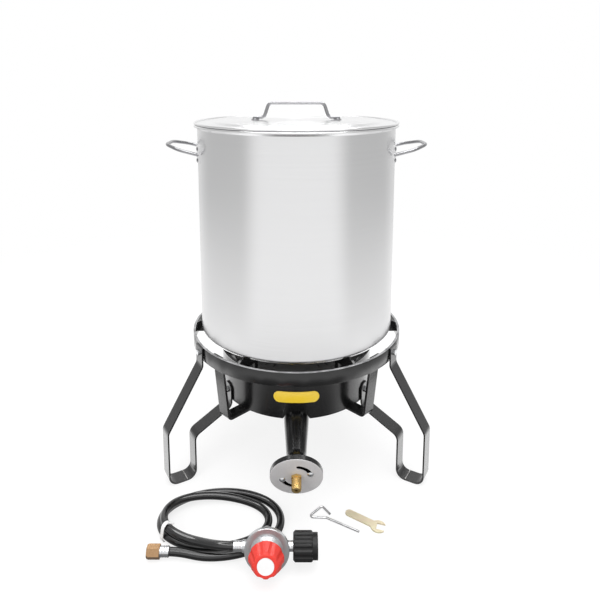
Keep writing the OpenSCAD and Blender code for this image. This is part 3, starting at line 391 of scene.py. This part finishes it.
def grain_group():
    """Pebble grain: noise at the scale that is asked for, with a coarser wave under it."""
    tree, inside, outside = new_group(
        "grain", [("Place", None), ("Scale", 900.0), ("Amount", 1.0)], ["Height", "Tone"])
    place = inside.outputs["Place"]
    return put_relief(tree, inside, outside, noise(tree, place, inside.outputs["Scale"], *GRAIN_FINE),
                      noise(tree, place, *GRAIN_BROAD), GRAIN_SHARE)


BRUSH, GRAIN = brush_group(), grain_group()
print("groups:", BRUSH.name, "and", GRAIN.name)

# %% [markdown]
# ## Smudges and dust
#
# Nothing that is handled has an even gloss. Smudges are broad, soft changes of roughness, as from
# wiping. Dust is a scatter of tiny pale specks. Loose grains would cost many faces, so the specks are
# the centres of small Voronoi cells, kept only where a noise is high, so that they gather in patches.

# %% Smudge and dust groups
SMUDGE_DETAIL, SMUDGE_ROUGHNESS, SMUDGE_SWIRL = 5.0, 0.6, 0.4
SPECK_SIZE, PATCH_SCALE, PATCH_LEVEL = 0.12, 90.0, 0.58


def smudge_group():
    """Roughness with soft patches: Base + Amount (noise - 1/2)."""
    tree, inside, outside = new_group(
        "smudges", [("Place", None), ("Base", 0.3), ("Amount", 0.1), ("Scale", 14.0)], ["Roughness"])
    patch = noise(tree, inside.outputs["Place"], inside.outputs["Scale"], SMUDGE_DETAIL,
                  SMUDGE_ROUGHNESS, SMUDGE_SWIRL)
    change = times(tree, math_node(tree, "SUBTRACT", patch, 0.5), inside.outputs["Amount"])
    feed(tree, outside, {"Roughness": math_node(tree, "ADD", inside.outputs["Base"], change)})
    return tree


def dust_group():
    """Mask of specks: Amount where a cell's centre is near and a noise is high, else 0."""
    tree, inside, outside = new_group(
        "dust", [("Place", None), ("Scale", 700.0), ("Amount", 0.3)], ["Mask"])
    place = inside.outputs["Place"]
    cells = add(tree, "ShaderNodeTexVoronoi", {"Vector": place, "Scale": inside.outputs["Scale"]})
    near = math_node(tree, "LESS_THAN", cells.outputs["Distance"], SPECK_SIZE)
    where = math_node(tree, "GREATER_THAN", noise(tree, place, PATCH_SCALE), PATCH_LEVEL)
    feed(tree, outside, {"Mask": times(tree, times(tree, near, where), inside.outputs["Amount"])})
    return tree


SMUDGE, DUST = smudge_group(), dust_group()
print("groups:", SMUDGE.name, "and", DUST.name)

# %% [markdown]
# ## One recipe for a finish
#
# Most finishes are a colour that varies a little between two tones, a roughness with smudges, and a
# small bump. Each could have its own tree, but one recipe keeps them alike and short. Numbers that are
# the same all over a surface are set on the shader's own sockets.

# %% The finish recipe
SPECK_COLOUR = (0.55, 0.53, 0.5, 1.0)
QUARTER_TURN = 0.25


def finish(name, tones, metallic=0.0, roughness=0.35, smudges=0.08, bump=0.2, bump_depth=0.0002,
           grain=900.0, brush=None, dust=0.0, coat=0.0, coat_roughness=0.1, specular=0.5,
           anisotropic=0.0):
    """A Principled material whose colour, roughness and bump come from the shared effects."""
    material = bpy.data.materials.new(name)
    material.use_nodes = True
    tree = material.node_tree
    shader = tree.nodes["Principled BSDF"]
    place = add(tree, "ShaderNodeTexCoord").outputs["Object"]
    if brush:
        effect = use_group(tree, BRUSH, {"Place": place, "Stretch": brush, "Amount": 1.0})
    else:
        effect = use_group(tree, GRAIN, {"Place": place, "Scale": grain, "Amount": 1.0})
    dark, light = ((*tone, 1.0) for tone in tones)
    colour = mix_colour(tree, effect.outputs["Tone"], dark, light)
    if dust:
        specks = use_group(tree, DUST, {"Place": place, "Amount": dust})
        colour = mix_colour(tree, specks.outputs["Mask"], colour, SPECK_COLOUR)
    patches = use_group(tree, SMUDGE, {"Place": place, "Base": roughness, "Amount": smudges})
    relief = add(tree, "ShaderNodeBump", {"Strength": bump, "Distance": bump_depth,
                                          "Height": effect.outputs["Height"]})
    feed(tree, shader, {
        "Base Color": colour, "Roughness": patches.outputs["Roughness"],
        "Normal": relief.outputs["Normal"], "Metallic": metallic, "Coat Weight": coat,
        "Coat Roughness": coat_roughness, "Specular IOR Level": specular,
        "Anisotropic": anisotropic, "Anisotropic Rotation": QUARTER_TURN})
    return material


FINISHES = {}
print("the recipe uses:", ", ".join(group.name for group in (BRUSH, GRAIN, SMUDGE, DUST)))

# %% [markdown]
# ## Black paint and castings
#
# The stand is sprayed black, smooth but not a mirror, so it has a low roughness and a thin coat. The
# venturi is a casting under thicker enamel, which keeps the waves of the sand. The burner itself is raw
# grey iron: paint would burn off it. Its grain is coarse, and its bump is three times as deep.

# %% Black and iron finishes
FINISHES["black_steel"] = finish(
    "sprayed black", ((0.0035, 0.0035, 0.0038), (0.008, 0.008, 0.0084)), roughness=0.24, smudges=0.14,
    bump=0.3, grain=1400.0, dust=0.15, coat=0.25, coat_roughness=0.12)
FINISHES["cast_burner"] = finish(
    "sand cast iron", ((0.15, 0.15, 0.152), (0.36, 0.356, 0.352)), metallic=0.2, roughness=0.6,
    smudges=0.2, bump=0.8, bump_depth=0.0006, grain=700.0)
FINISHES["black_casting"] = finish(
    "enamelled casting", ((0.004, 0.004, 0.0045), (0.009, 0.009, 0.0095)), roughness=0.2, smudges=0.1,
    bump=0.5, bump_depth=0.0005, grain=260.0, specular=0.34)
print("finishes:", len(FINISHES))

# %% [markdown]
# ## Steel and zinc
#
# The pot is stainless steel, brushed round its wall, so its lights run up and down it in soft bands.
# Stretched noise gives the lines, and anisotropy spreads the light across them. The handles are
# polished, bolts are bright zinc, and the regulator is a zinc die casting with a dull skin.

# %% Steel and zinc finishes
FINISHES["stainless"] = finish(
    "brushed stainless", ((0.74, 0.74, 0.745), (0.82, 0.82, 0.825)), metallic=1.0, roughness=0.26,
    smudges=0.04, bump=0.04, brush=(5.0, 5.0, 1500.0), anisotropic=0.7)
FINISHES["bright_rod"] = finish(
    "polished rod", ((0.24, 0.24, 0.25), (0.4, 0.4, 0.41)), metallic=1.0, roughness=0.22, smudges=0.08,
    bump=0.06, grain=300.0)
FINISHES["zinc"] = finish(
    "bright zinc", ((0.6, 0.61, 0.63), (0.82, 0.83, 0.84)), metallic=1.0, roughness=0.26, smudges=0.16,
    bump=0.15, grain=500.0)
FINISHES["cast_zinc"] = finish(
    "die casting", ((0.46, 0.47, 0.48), (0.68, 0.69, 0.7)), metallic=0.8, roughness=0.32, smudges=0.18,
    bump=0.4, bump_depth=0.0003)
FINISHES["shutter_steel"] = finish(
    "satin sheet", ((0.5, 0.49, 0.495), (0.7, 0.685, 0.69)), metallic=0.25, roughness=0.55,
    smudges=0.12, bump=0.25, grain=500.0)
FINISHES["wire_steel"] = finish(
    "drawn wire", ((0.66, 0.66, 0.67), (0.84, 0.84, 0.85)), metallic=0.9, roughness=0.3, smudges=0.12,
    bump=0.1, grain=500.0)
FINISHES["weld_steel"] = finish(
    "weld metal", ((0.3, 0.3, 0.3), (0.5, 0.49, 0.48)), metallic=0.7, roughness=0.45, smudges=0.2,
    bump=0.5, grain=800.0)
print("finishes:", len(FINISHES))

# %% [markdown]
# ## Brass and yellow zinc
#
# The gas inlet is fresh turned brass, and the hose's nut is a browner, plainer brass. The small wrench
# is stamped steel with a yellow zinc coat, which shifts between pink and green where its film is
# thicker. Two tones on stretched noise give that shift without any colour that depends on the view.

# %% Brass and yellow zinc finishes
FINISHES["brass"] = finish(
    "turned brass", ((0.62, 0.38, 0.12), (0.95, 0.7, 0.3)), metallic=1.0, roughness=0.26,
    smudges=0.14, grain=700.0)
FINISHES["brown_brass"] = finish(
    "plain brass", ((0.34, 0.19, 0.09), (0.64, 0.42, 0.24)), metallic=1.0, roughness=0.28,
    smudges=0.14, bump=0.25, grain=600.0)
FINISHES["yellow_zinc"] = finish(
    "yellow zinc", ((0.98, 0.74, 0.64), (0.9, 0.94, 0.55)), metallic=0.5, roughness=0.34,
    smudges=0.16, bump=0.15, brush=(40.0, 160.0, 40.0))
print("finishes:", len(FINISHES))

# %% [markdown]
# ## Rubber, plastic and the plate
#
# The hose is a glossy black rubber, so its coat is strong and smooth over a darker, rougher body. The
# knob and the handwheel are moulded, with a faint grain from the tool. The plate on the drum is yellow
# enamel under a clear coat. The rubber sheet is only for the diaphragm inside the regulator.

# %% Rubber, plastic and plate finishes
FINISHES["hose_rubber"] = finish(
    "hose rubber", ((0.003, 0.003, 0.0034), (0.008, 0.008, 0.0084)), roughness=0.3, smudges=0.1,
    bump=0.1, dust=0.1, coat=1.0, coat_roughness=0.05, specular=0.3)
FINISHES["diaphragm_rubber"] = finish(
    "rubber sheet", ((0.03, 0.03, 0.03), (0.06, 0.06, 0.06)), roughness=0.7, grain=800.0)
FINISHES["black_plastic"] = finish(
    "black moulding", ((0.005, 0.005, 0.0055), (0.014, 0.014, 0.0145)), roughness=0.4, smudges=0.12,
    bump=0.4, grain=1200.0, dust=0.1, specular=0.32)
FINISHES["white_plastic"] = finish(
    "white moulding", ((0.78, 0.78, 0.78), (0.88, 0.88, 0.88)), roughness=0.4, smudges=0.1, bump=0.1,
    grain=400.0)
FINISHES["red_plastic"] = finish(
    "red moulding", ((0.66, 0.022, 0.012), (0.82, 0.045, 0.028)), roughness=0.33, smudges=0.1,
    bump=0.15, grain=600.0, coat=0.3, coat_roughness=0.15)
FINISHES["label_yellow"] = finish(
    "yellow plate", ((0.86, 0.56, 0.02), (0.96, 0.7, 0.06)), roughness=0.32, smudges=0.1, bump=0.1,
    grain=220.0, coat=0.4)
print("finishes:", len(FINISHES))

# %% [markdown]
# ## The finishes on the CAD nodes
#
# The record names a material slot for every node. Each node gets the finish of its slot, so a change
# of slot in the record changes the look here by itself. Two nodes look plainer or browner than the
# rest of their slot in the photograph, and get a finish of their own.

# %% Assign the finishes
slot_of = {row["node"]: row["material_slot"] for row in frame["record"]["subparts"]}


def wear(piece, title):
    """Give a piece one finish, in place of what it had."""
    piece.data.materials.clear()
    piece.data.materials.append(FINISHES[title])


for name, node in nodes.items():
    wear(node, slot_of[name])
wear(hose, "hose_rubber")
wear(nodes["wire_key"], "wire_steel")
wear(nodes["flare_nut"], "brown_brass")
print("slots in use:", len(set(slot_of.values())))

# %% [markdown]
# ## The ring's rubbed edge
#
# Pots are slid on and off over the ring, so the paint is worn thin along its top edge. The pale line
# there is partly that bare metal and partly a painted highlight, for the light that the edge catches.
# It could be a strip of its own, but it has no thickness. A copy of the black finish mixes in pale grey
# by height instead, broken up by noise.

# %% Worn edge with a painted highlight
PALE_EDGE_DEPTH, PALE_EDGE_SCALE = 0.0007, 60.0
PALE_EDGE_FROM, PALE_EDGE_TO, PALE_EDGE_LEAST = 0.3, 0.6, 0.35
# Pale grey of the top edge: bare metal where the paint is worn, and a painted highlight.
WORN_AND_HIGHLIGHT_GREY = (0.42, 0.42, 0.43, 1.0)


def worn_and_highlit(source, title, top):
    """Copy of a finish, paler near a height (worn paint, painted highlight): a smoothstep of height, times
    a broad noise.
    """
    material = source.copy()
    material.name = title
    tree = material.node_tree
    shader = tree.nodes["Principled BSDF"]
    paint = shader.inputs["Base Color"].links[0].from_socket
    place = add(tree, "ShaderNodeTexCoord").outputs["Object"]
    height = add(tree, "ShaderNodeSeparateXYZ", {0: place}).outputs["Z"]
    edge = band(tree, height, top - PALE_EDGE_DEPTH, top - PALE_EDGE_DEPTH / 4, 0.0, 1.0)
    patchy = add(tree, "ShaderNodeMapRange", {
        "Value": noise(tree, place, PALE_EDGE_SCALE), "From Min": PALE_EDGE_FROM, "From Max": PALE_EDGE_TO,
        "To Min": PALE_EDGE_LEAST, "To Max": 1.0})
    # The pale grey here is partly worn paint and partly a painted highlight along the edge.
    bare = mix_colour(tree, times(tree, edge, patchy.outputs[0]), paint, WORN_AND_HIGHLIGHT_GREY)
    feed(tree, shader, {"Base Color": bare})
    return material


# The ring gets the copy with the painted highlight along its top edge.
ring_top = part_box("top_ring")[1][2]
FINISHES["worn_and_highlit_steel"] = worn_and_highlit(FINISHES["black_steel"], "worn black, painted highlight", ring_top)
wear(nodes["top_ring"], "worn_and_highlit_steel")
print("the ring's top edge is at m:", round(ring_top, 4))

# %% [markdown]
# ## Softened edges
#
# Bar stock and stamped sheet have no knife edges. The CAD could round them, at the cost of many small
# faces. Here each such node is welded into one surface and gets a small live bevel, which catches a
# thin line of light, as the painted edges do in daylight.

# %% Bevelled edges
BAR_EDGE, SHEET_EDGE = 0.5, 0.25
MERGE, SHARP, EDGE_STEPS = 0.00001, math.radians(38), 2


def soften(name, width_mm):
    """Live bevel on a node's sharp edges. Its loose triangles are merged first."""
    node = nodes[name]
    weld = node.modifiers.new("weld", "WELD")
    weld.merge_threshold = MERGE
    bevel = node.modifiers.new("bevel", "BEVEL")
    bevel.width = width_mm * MM
    bevel.segments = EDGE_STEPS
    bevel.limit_method = "ANGLE"
    bevel.angle_limit = SHARP
    bevel.harden_normals = True


bars = ("rear_leg", "front_left_leg", "front_right_leg", "top_ring", "lower_strap", "upper_strap")
sheets = ("air_shutter", "rating_plate", "open_wrench")
for name in bars:
    soften(name, BAR_EDGE)
for name in sheets:
    soften(name, SHEET_EDGE)
print("softened:", len(bars), "bars and", len(sheets), "sheets")

# %% [markdown]
# ## Weld beads
#
# A weld bead is a ridge of drops, each laid on the last. A bump map would show the drops but not the
# ridge, so a bead is a thin tube whose radius has one wave for each drop, and which closes at both ends.

# %% A bead
BEAD_PITCH, BEAD_WAVE, BEAD_SIDES = 1.6, 0.14, 14
ROWS_A_DROP, BEAD_TIP, UPRIGHT = 8, 0.02, 0.9


def dress(piece, body, title):
    """Let a new piece ride on a body and give it its finish."""
    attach(piece, body)
    wear(piece, title)


def bead(name, start, end, radius, slot, title):
    """A rippled tube between two points: r(s) = R taper(s) (1 + WAVE cos(2 pi s / pitch)).

    The taper is a square root that rises from each end over one radius, so that the ends are round.
    """
    ahead = np.subtract(end, start)
    length = np.linalg.norm(ahead)
    s = np.linspace(0, 1, int(length / BEAD_PITCH * ROWS_A_DROP) + 1)
    taper = np.sqrt(np.clip(np.minimum(s, 1 - s) * length / radius, BEAD_TIP, 1))
    ripple = radius * taper * (1 + BEAD_WAVE * np.cos(2 * np.pi * s * length / BEAD_PITCH))
    upright = abs(ahead[2]) > UPRIGHT * length
    side = np.array([1.0, 0, 0]) if upright else np.cross(ahead, [0, 0, 1]) / length
    side /= np.linalg.norm(side)
    piece = grid_mesh(name, from_axis(turned_grid(start, end, ripple, side, BEAD_SIDES)))
    dress(piece, "stand", title)
    return length


def polar(angle, radius, sideways, height):
    """Point at an angle and radius about the stand's axis, moved sideways along the tangent."""
    c, s = math.cos(angle), math.sin(angle)
    return [radius * c - sideways * s, radius * s + sideways * c, height]


print("a bead has", BEAD_SIDES, "sides and a drop every", BEAD_PITCH, "mm")

# %% [markdown]
# ## Welds on the stand
#
# Each foot has a bead across its bottom bar, where the bent bar closes on itself, and it is bare metal
# there. Each pot rest has one up each side at the ring, under the paint. The rests are found by their
# own boxes, so the beads follow them.

# %% The stand's welds
RING_IN = 202.0
FOOT_ANGLES = (90, 210, 330)
FOOT_SEAM_R, FOOT_BAR_W, FOOT_BAR_T = 244, 30, 3
FOOT_BEAD_R, FOOT_BEAD_INSET, FOOT_BEAD_RISE = 1.3, 0.4, 0.1
REST_BEAD_R, REST_BEAD_SIDE, REST_BEAD_SINK = 1.5, 2.9, 1
REST_BEAD_FROM, REST_BEAD_TO = 22, 6

welded = 0.0
for number, degrees in enumerate(FOOT_ANGLES, start=1):
    ends = [polar(math.radians(degrees), FOOT_SEAM_R, side * (FOOT_BAR_W / 2 - FOOT_BEAD_INSET),
                  FOOT_BAR_T + FOOT_BEAD_RISE) for side in (-1, 1)]
    welded += bead(f"foot_seam_{number}", *ends, FOOT_BEAD_R, "zinc", "weld_steel")
for number in range(1, 7):
    low, high = (np.array(c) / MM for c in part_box(f"pot_rest_{number}"))
    middle = (low + high) / 2 - [0, AXIS_Y / MM, 0]
    angle = math.atan2(middle[1], middle[0])
    for title, side in (("left", -1), ("right", 1)):
        ends = [polar(angle, RING_IN - REST_BEAD_SINK, side * REST_BEAD_SIDE, high[2] - drop)
                for drop in (REST_BEAD_FROM, REST_BEAD_TO)]
        welded += bead(f"rest_weld_{number}_{title}", *ends, REST_BEAD_R, "black_steel", "black_steel")
print("weld in mm:", round(welded))

# %% [markdown]
# ## The inlet's thread
#
# The brass inlet carries a fine outside thread. Rings would look alike from afar, but a real thread
# climbs, so one ridge runs on a helix and fades in and out at its ends. The inlet tilts down with the
# venturi, and the helix takes the same tilt.

# %% Thread
TILT = math.radians(19)
MOUTH = np.array([0, -244, 89.5])
AHEAD = np.array([0, -math.cos(TILT), -math.sin(TILT)])
THREAD_R, THREAD_START, THREAD_LENGTH, THREAD_PITCH = 7.85, 6.0, 16.0, 1.5
RIDGE_R, RIDGE_TIP, RIDGE_SIDES, TURN_STEPS = 0.42, 0.05, 6, 40


def helix(centre, axis, radius, start, length, pitch):
    """Middle line centre + axis s + r (cos t e + sin t f), with s = start + pitch t / 2 pi, and its t."""
    e = np.cross(axis, [1.0, 0.0, 0.0])
    e = e / np.linalg.norm(e)
    f = np.cross(axis, e)
    turns = length / pitch
    t = np.linspace(0, 2 * np.pi * turns, int(TURN_STEPS * turns))
    path = centre + np.outer(start + pitch * t / (2 * np.pi), axis)
    return path + radius * (np.outer(np.cos(t), e) + np.outer(np.sin(t), f)), t


ridge, t = helix(MOUTH, AHEAD, THREAD_R, THREAD_START, THREAD_LENGTH, THREAD_PITCH)
fade = np.clip(np.minimum(t, t[-1] - t) / np.pi, RIDGE_TIP, 1)
thread = grid_mesh("inlet_thread", from_axis(tube_grid(ridge, RIDGE_R * fade, RIDGE_SIDES)))
dress(thread, "stand", "brass")
print("thread turns:", round(THREAD_LENGTH / THREAD_PITCH, 1))

# %% [markdown]
# ## The crimped ferrules
#
# Each end of the hose is held in a steel ferrule that is crimped, with three shallow grooves pressed
# into its sleeve. The CAD's ferrules are plain. A turned sleeve over each adds the grooves: a power of
# a sine gives narrow dips between wide lands.

# %% Crimps
CRIMP_R, CRIMP_GROOVES, CRIMP_DEPTH, CRIMP_INSET = 7.9, 3, 0.38, 0.4
CRIMP_ROWS, CRIMP_SIDES, CRIMP_POWER = 97, 48, 6
ROUND_OFF, ROUND_RATE = 0.5, 40

x = np.linspace(0, 1, CRIMP_ROWS)
crimp_profile = CRIMP_R - CRIMP_DEPTH * np.sin(np.pi * CRIMP_GROOVES * x) ** CRIMP_POWER
crimp_profile = crimp_profile - ROUND_OFF * np.exp(-np.minimum(x, 1 - x) * ROUND_RATE)


def crimp(name, from_x, to_x, y, z):
    """Sleeve along x with r(x) = R - DEPTH sin(pi GROOVES x)^POWER, rounded off at both ends."""
    ends = [from_x + CRIMP_INSET, y, z], [to_x - CRIMP_INSET, y, z]
    piece = grid_mesh(name, from_axis(turned_grid(*ends, crimp_profile, (0, 0, 1), CRIMP_SIDES)))
    dress(piece, "hose_set", "zinc")


crimp("nut_crimp", NUT_X - FERRULE_LENGTH, NUT_X, NUT_Y, NUT_Z)
crimp("regulator_crimp", hose_end_x, port_x, REG_Y, REG_Z)
print("crimp radius in mm:", round(crimp_profile.min(), 2), "to", round(crimp_profile.max(), 2))

# %% [markdown]
# ## The tie's tail
#
# The two strands of hose are held by a white tie, whose ends are twisted round each other. A texture of
# a twist would lie flat, so these are two thin tubes on helices half a turn apart, about one straight
# middle line that starts on top of the tie.

# %% Twisted tail
TIE_TURN, TIE_RISE = 0.84, 1.6
TAIL_LENGTH, TAIL_R, TAIL_WIRE_R, TAIL_PITCH = 15, 0.85, 0.75, 5.5
TAIL_ROWS, TAIL_SIDES = 90, 8

tie_top = coil_points(np.array([TIE_TURN + 1.0]))[0] + [0, 0, HOSE_R + TIE_RISE]
tail_way = np.array([0.75, -0.35, 0.25])
tail_way /= np.linalg.norm(tail_way)
side = np.cross(tail_way, [0, 0, 1])
side /= np.linalg.norm(side)
up = np.cross(side, tail_way)
run = np.linspace(0, TAIL_LENGTH, TAIL_ROWS)
for number, phase in enumerate((0, np.pi), start=1):
    turn = 2 * np.pi * run / TAIL_PITCH + phase
    twist = TAIL_R * (np.outer(np.cos(turn), side) + np.outer(np.sin(turn), up))
    line = tie_top + np.outer(run, tail_way) + twist
    wire = grid_mesh(f"tie_tail_{number}", from_axis(tube_grid(line, TAIL_WIRE_R, TAIL_SIDES)))
    dress(wire, "hose_set", "white_plastic")
print("tail of", TAIL_LENGTH, "mm, turns:", round(TAIL_LENGTH / TAIL_PITCH, 1))

# %% [markdown]
# ## The studio round the stand
#
# The photograph was taken on plain white. Steel shows its surroundings, so they matter more than the
# lamps: a bright wall in front gives the pot its pale middle band, greyer sides give its darker flanks,
# and a pale wall behind lights its edges. Real panels could stand there, but one node group gives the
# same as a level by bearing, and both the floor and the sky use it for what isn't the camera's view.

# %% The studio's level by bearing
FRONT_LEVEL, SIDE_LEVEL, BACK_LEVEL = 1.0, 0.6, 0.78
FRONT_EDGE, BACK_EDGE, ASIDE_EDGE = (0.45, 0.8), (-0.4, -0.9), (0.86, 0.35)


def studio_group():
    """Level and Aside by c, the cosine of the bearing from the front.

    Level is the side's, plus a step up to the front and one to the back. Aside is 0 in front and 1
    at the sides and behind.
    """
    tree, inside, outside = new_group("studio level", [("Place", None)], ["Level", "Aside"])
    flat = add(tree, "ShaderNodeVectorMath", {0: inside.outputs["Place"], 1: (1.0, 1.0, 0.0)},
               operation="MULTIPLY").outputs[0]
    bearing = add(tree, "ShaderNodeVectorMath", {0: flat}, operation="NORMALIZE").outputs[0]
    cosine = times(tree, add(tree, "ShaderNodeSeparateXYZ", {0: bearing}).outputs["Y"], -1.0)
    front = band(tree, cosine, *FRONT_EDGE, 0.0, FRONT_LEVEL - SIDE_LEVEL)
    back = band(tree, cosine, *BACK_EDGE, 0.0, BACK_LEVEL - SIDE_LEVEL)
    level = math_node(tree, "ADD", math_node(tree, "ADD", front, back), SIDE_LEVEL)
    feed(tree, outside, {"Level": level, "Aside": band(tree, cosine, *ASIDE_EDGE, 0.0, 1.0)})
    return tree


STUDIO = studio_group()
print("levels in front, aside and behind:", FRONT_LEVEL, SIDE_LEVEL, BACK_LEVEL)

# %% [markdown]
# ## The floor's sheet
#
# The stand is on a wide sheet of white paper. It lies half a millimetre under the feet, so that no face
# of the set lies in it, and it is so wide that its edge is never seen.

# %% Floor sheet
FLOOR_SIZE, FLOOR_DROP = 60.0, 0.0005

corners = np.array([(-1, -1), (1, -1), (1, 1), (-1, 1)]) * FLOOR_SIZE / 2
floor_mesh = bpy.data.meshes.new("floor")
floor_mesh.from_pydata(np.column_stack([corners, np.full(4, -FLOOR_DROP)]).tolist(), [], [(0, 1, 2, 3)])
floor = bpy.data.objects.new("floor", floor_mesh)
bpy.context.scene.collection.objects.link(floor)
floor_material = bpy.data.materials.new("white floor")
floor_material.use_nodes = True
floor_mesh.materials.append(floor_material)
print("floor of", FLOOR_SIZE, "m")

# %% [markdown]
# ## The floor that the camera sees
#
# To the camera the paper is nearly white with a faint shadow near the stand, and it fades to the same
# white as the sky further out, so that no horizon shows. More light would do it too, but it would
# bleach the steel. A pale diffuse paper with a glow of its own keeps the shadow, and because only the
# camera sees the glow, it throws no light on the set.

# %% The camera's floor
WHITE = (1.0, 1.0, 1.0, 1.0)
PALE_PAPER, PAPER_GLOW = (0.26, 0.26, 0.26, 1.0), 0.78
FADE_FROM, FADE_TO = 0.7, 1.8

tree = floor_material.node_tree
tree.nodes.clear()


def glowing(tree, strength):
    return add(tree, "ShaderNodeEmission", {"Color": WHITE, "Strength": strength}).outputs[0]


def mix_shaders(tree, factor, a, b):
    return add(tree, "ShaderNodeMixShader", {0: factor, 1: a, 2: b}).outputs[0]


place = add(tree, "ShaderNodeTexCoord").outputs["Object"]
about_axis = add(tree, "ShaderNodeVectorMath", {0: place, 1: (0.0, AXIS_Y, 0.0)},
                 operation="SUBTRACT").outputs[0]
distance = add(tree, "ShaderNodeVectorMath", {0: about_axis}, operation="LENGTH").outputs["Value"]
pale_paper = add(tree, "ShaderNodeBsdfDiffuse", {"Color": PALE_PAPER}).outputs[0]
near_paper = add(tree, "ShaderNodeAddShader", {0: pale_paper, 1: glowing(tree, PAPER_GLOW)}).outputs[0]
far_out = band(tree, distance, FADE_FROM, FADE_TO, 0.0, 1.0)
seen = mix_shaders(tree, far_out, near_paper, glowing(tree, 1.0))
print("the paper turns plain white between", FADE_FROM, "and", FADE_TO, "m")

# %% [markdown]
# ## The floor that the steel mirrors
#
# In the steel the floor has the studio's level, lifted a little near the stand, most at the sides.
# Close under the set it is dim in front and bright at the sides: that gives the lower parts of the pot,
# the legs and the hose the dark and light bands that the photograph shows.

# %% The mirrored floor
NEAR_FROM, NEAR_TO, NEAR_LIFT, NEAR_FILL = 0.4, 3.0, 0.13, 0.66
UNDER_FROM, UNDER_TO, UNDER_FRONT, UNDER_SIDE = 0.4, 0.72, 0.2, 1.8

studio_here = use_group(tree, STUDIO, {"Place": about_axis})
level = studio_here.outputs["Level"]
shade = times(tree, math_node(tree, "SUBTRACT", 1.0, level), NEAR_FILL)
near_lift = times(tree, band(tree, distance, NEAR_FROM, NEAR_TO, 1.0, 0.0),
                  math_node(tree, "ADD", shade, NEAR_LIFT))
open_floor = math_node(tree, "ADD", level, near_lift)
under = math_node(tree, "ADD", times(tree, studio_here.outputs["Aside"], UNDER_SIDE - UNDER_FRONT),
                  UNDER_FRONT)
change = times(tree, math_node(tree, "SUBTRACT", open_floor, under),
               band(tree, distance, UNDER_FROM, UNDER_TO, 0.0, 1.0))
mirrored = glowing(tree, math_node(tree, "ADD", under, change))
print("mirrored level close by:", UNDER_FRONT, "in front and", UNDER_SIDE, "at the sides")

# %% [markdown]
# ## One floor for all rays
#
# Light Path tells which ray asks. The camera gets the seen floor, a mirror ray gets the mirrored one,
# and diffuse rays get a plain white paper, which throws light back up as real paper does.

# %% Join the floor
PAPER = (0.9, 0.9, 0.9, 1.0)

rays = add(tree, "ShaderNodeLightPath").outputs
paper = add(tree, "ShaderNodeBsdfDiffuse", {"Color": PAPER}).outputs[0]
lit = mix_shaders(tree, rays["Is Camera Ray"], paper, seen)
surface = mix_shaders(tree, rays["Is Glossy Ray"], lit, mirrored)
add(tree, "ShaderNodeOutputMaterial", {"Surface": surface})
print("floor nodes:", len(tree.nodes))

# %% [markdown]
# ## The sky
#
# The sky is plain white where the camera looks past the object, and the studio's level elsewhere, a
# little brighter overhead and behind the object. Mirror rays also meet a narrow bright strip that runs
# all round, high up. It draws the thin lines of light along the hose and on the lid. Tube lamps would
# do that as well, but they would also light the set and throw their own shadows.

# %% Sky
RISE_FROM, RISE_TO, RISE = 0.1, 0.95, 0.1
BEHIND_FROM, BEHIND_TO, BEHIND = 0.3, 0.8, 0.24
STRIP_LEVEL, STRIP_LOW, STRIP_HIGH = 7.0, (0.8, 0.83), (0.86, 0.89)

world = bpy.data.worlds.new("studio")
bpy.context.scene.world = world
world.use_nodes = True
tree = world.node_tree
tree.nodes.clear()
rays = add(tree, "ShaderNodeLightPath").outputs
direction = add(tree, "ShaderNodeTexCoord").outputs["Generated"]
way = add(tree, "ShaderNodeSeparateXYZ", {0: direction}).outputs
strip = times(tree, band(tree, way["Z"], *STRIP_LOW, 0.0, STRIP_LEVEL),
              band(tree, way["Z"], *STRIP_HIGH, 1.0, 0.0))
sky_level = use_group(tree, STUDIO, {"Place": direction}).outputs["Level"]
for extra in (band(tree, way["Z"], RISE_FROM, RISE_TO, 0.0, RISE),
              band(tree, way["Y"], BEHIND_FROM, BEHIND_TO, 0.0, BEHIND),
              times(tree, strip, rays["Is Glossy Ray"])):
    sky_level = math_node(tree, "ADD", sky_level, extra)
studio = add(tree, "ShaderNodeBackground", {"Color": WHITE, "Strength": sky_level}).outputs[0]
white = add(tree, "ShaderNodeBackground", {"Color": WHITE, "Strength": 1.0}).outputs[0]
add(tree, "ShaderNodeOutputWorld", {"Surface": mix_shaders(tree, rays["Is Camera Ray"], studio, white)})
print("sky nodes:", len(tree.nodes))

# %% [markdown]
# ## Lamps
#
# The sky lights the set from all sides, which leaves forms flat. Two large soft lamps, one overhead and
# one in front on the left, add shape and the faint shadow on the floor. The front one isn't seen by
# mirror rays, because its round shape would show on the pot.

# %% Lamps
LAMP_TARGET = np.array([0, 0, 0.3])


def soft_lamp(name, location, size, power):
    """A round area lamp that shines on the set: its -z axis is turned to the target."""
    data = bpy.data.lights.new(name, "AREA")
    data.shape = "DISK"
    data.size = size
    data.energy = power
    lamp = bpy.data.objects.new(name, data)
    lamp.location = location
    aim = LAMP_TARGET - np.array(location)
    yaw = math.atan2(aim[1], aim[0])
    pitch = math.atan2(math.hypot(aim[0], aim[1]), -aim[2])
    lamp.rotation_euler = (pitch, 0, yaw - math.pi / 2)
    bpy.context.scene.collection.objects.link(lamp)
    return lamp


overhead = soft_lamp("overhead", (0.3, -0.5, 2.6), size=2.2, power=26)
front_left = soft_lamp("front left", (-1.6, -2.2, 1.5), size=1.4, power=16)
front_left.visible_glossy = False
print("lamps in watts:", overhead.data.energy, "and", front_left.data.energy)
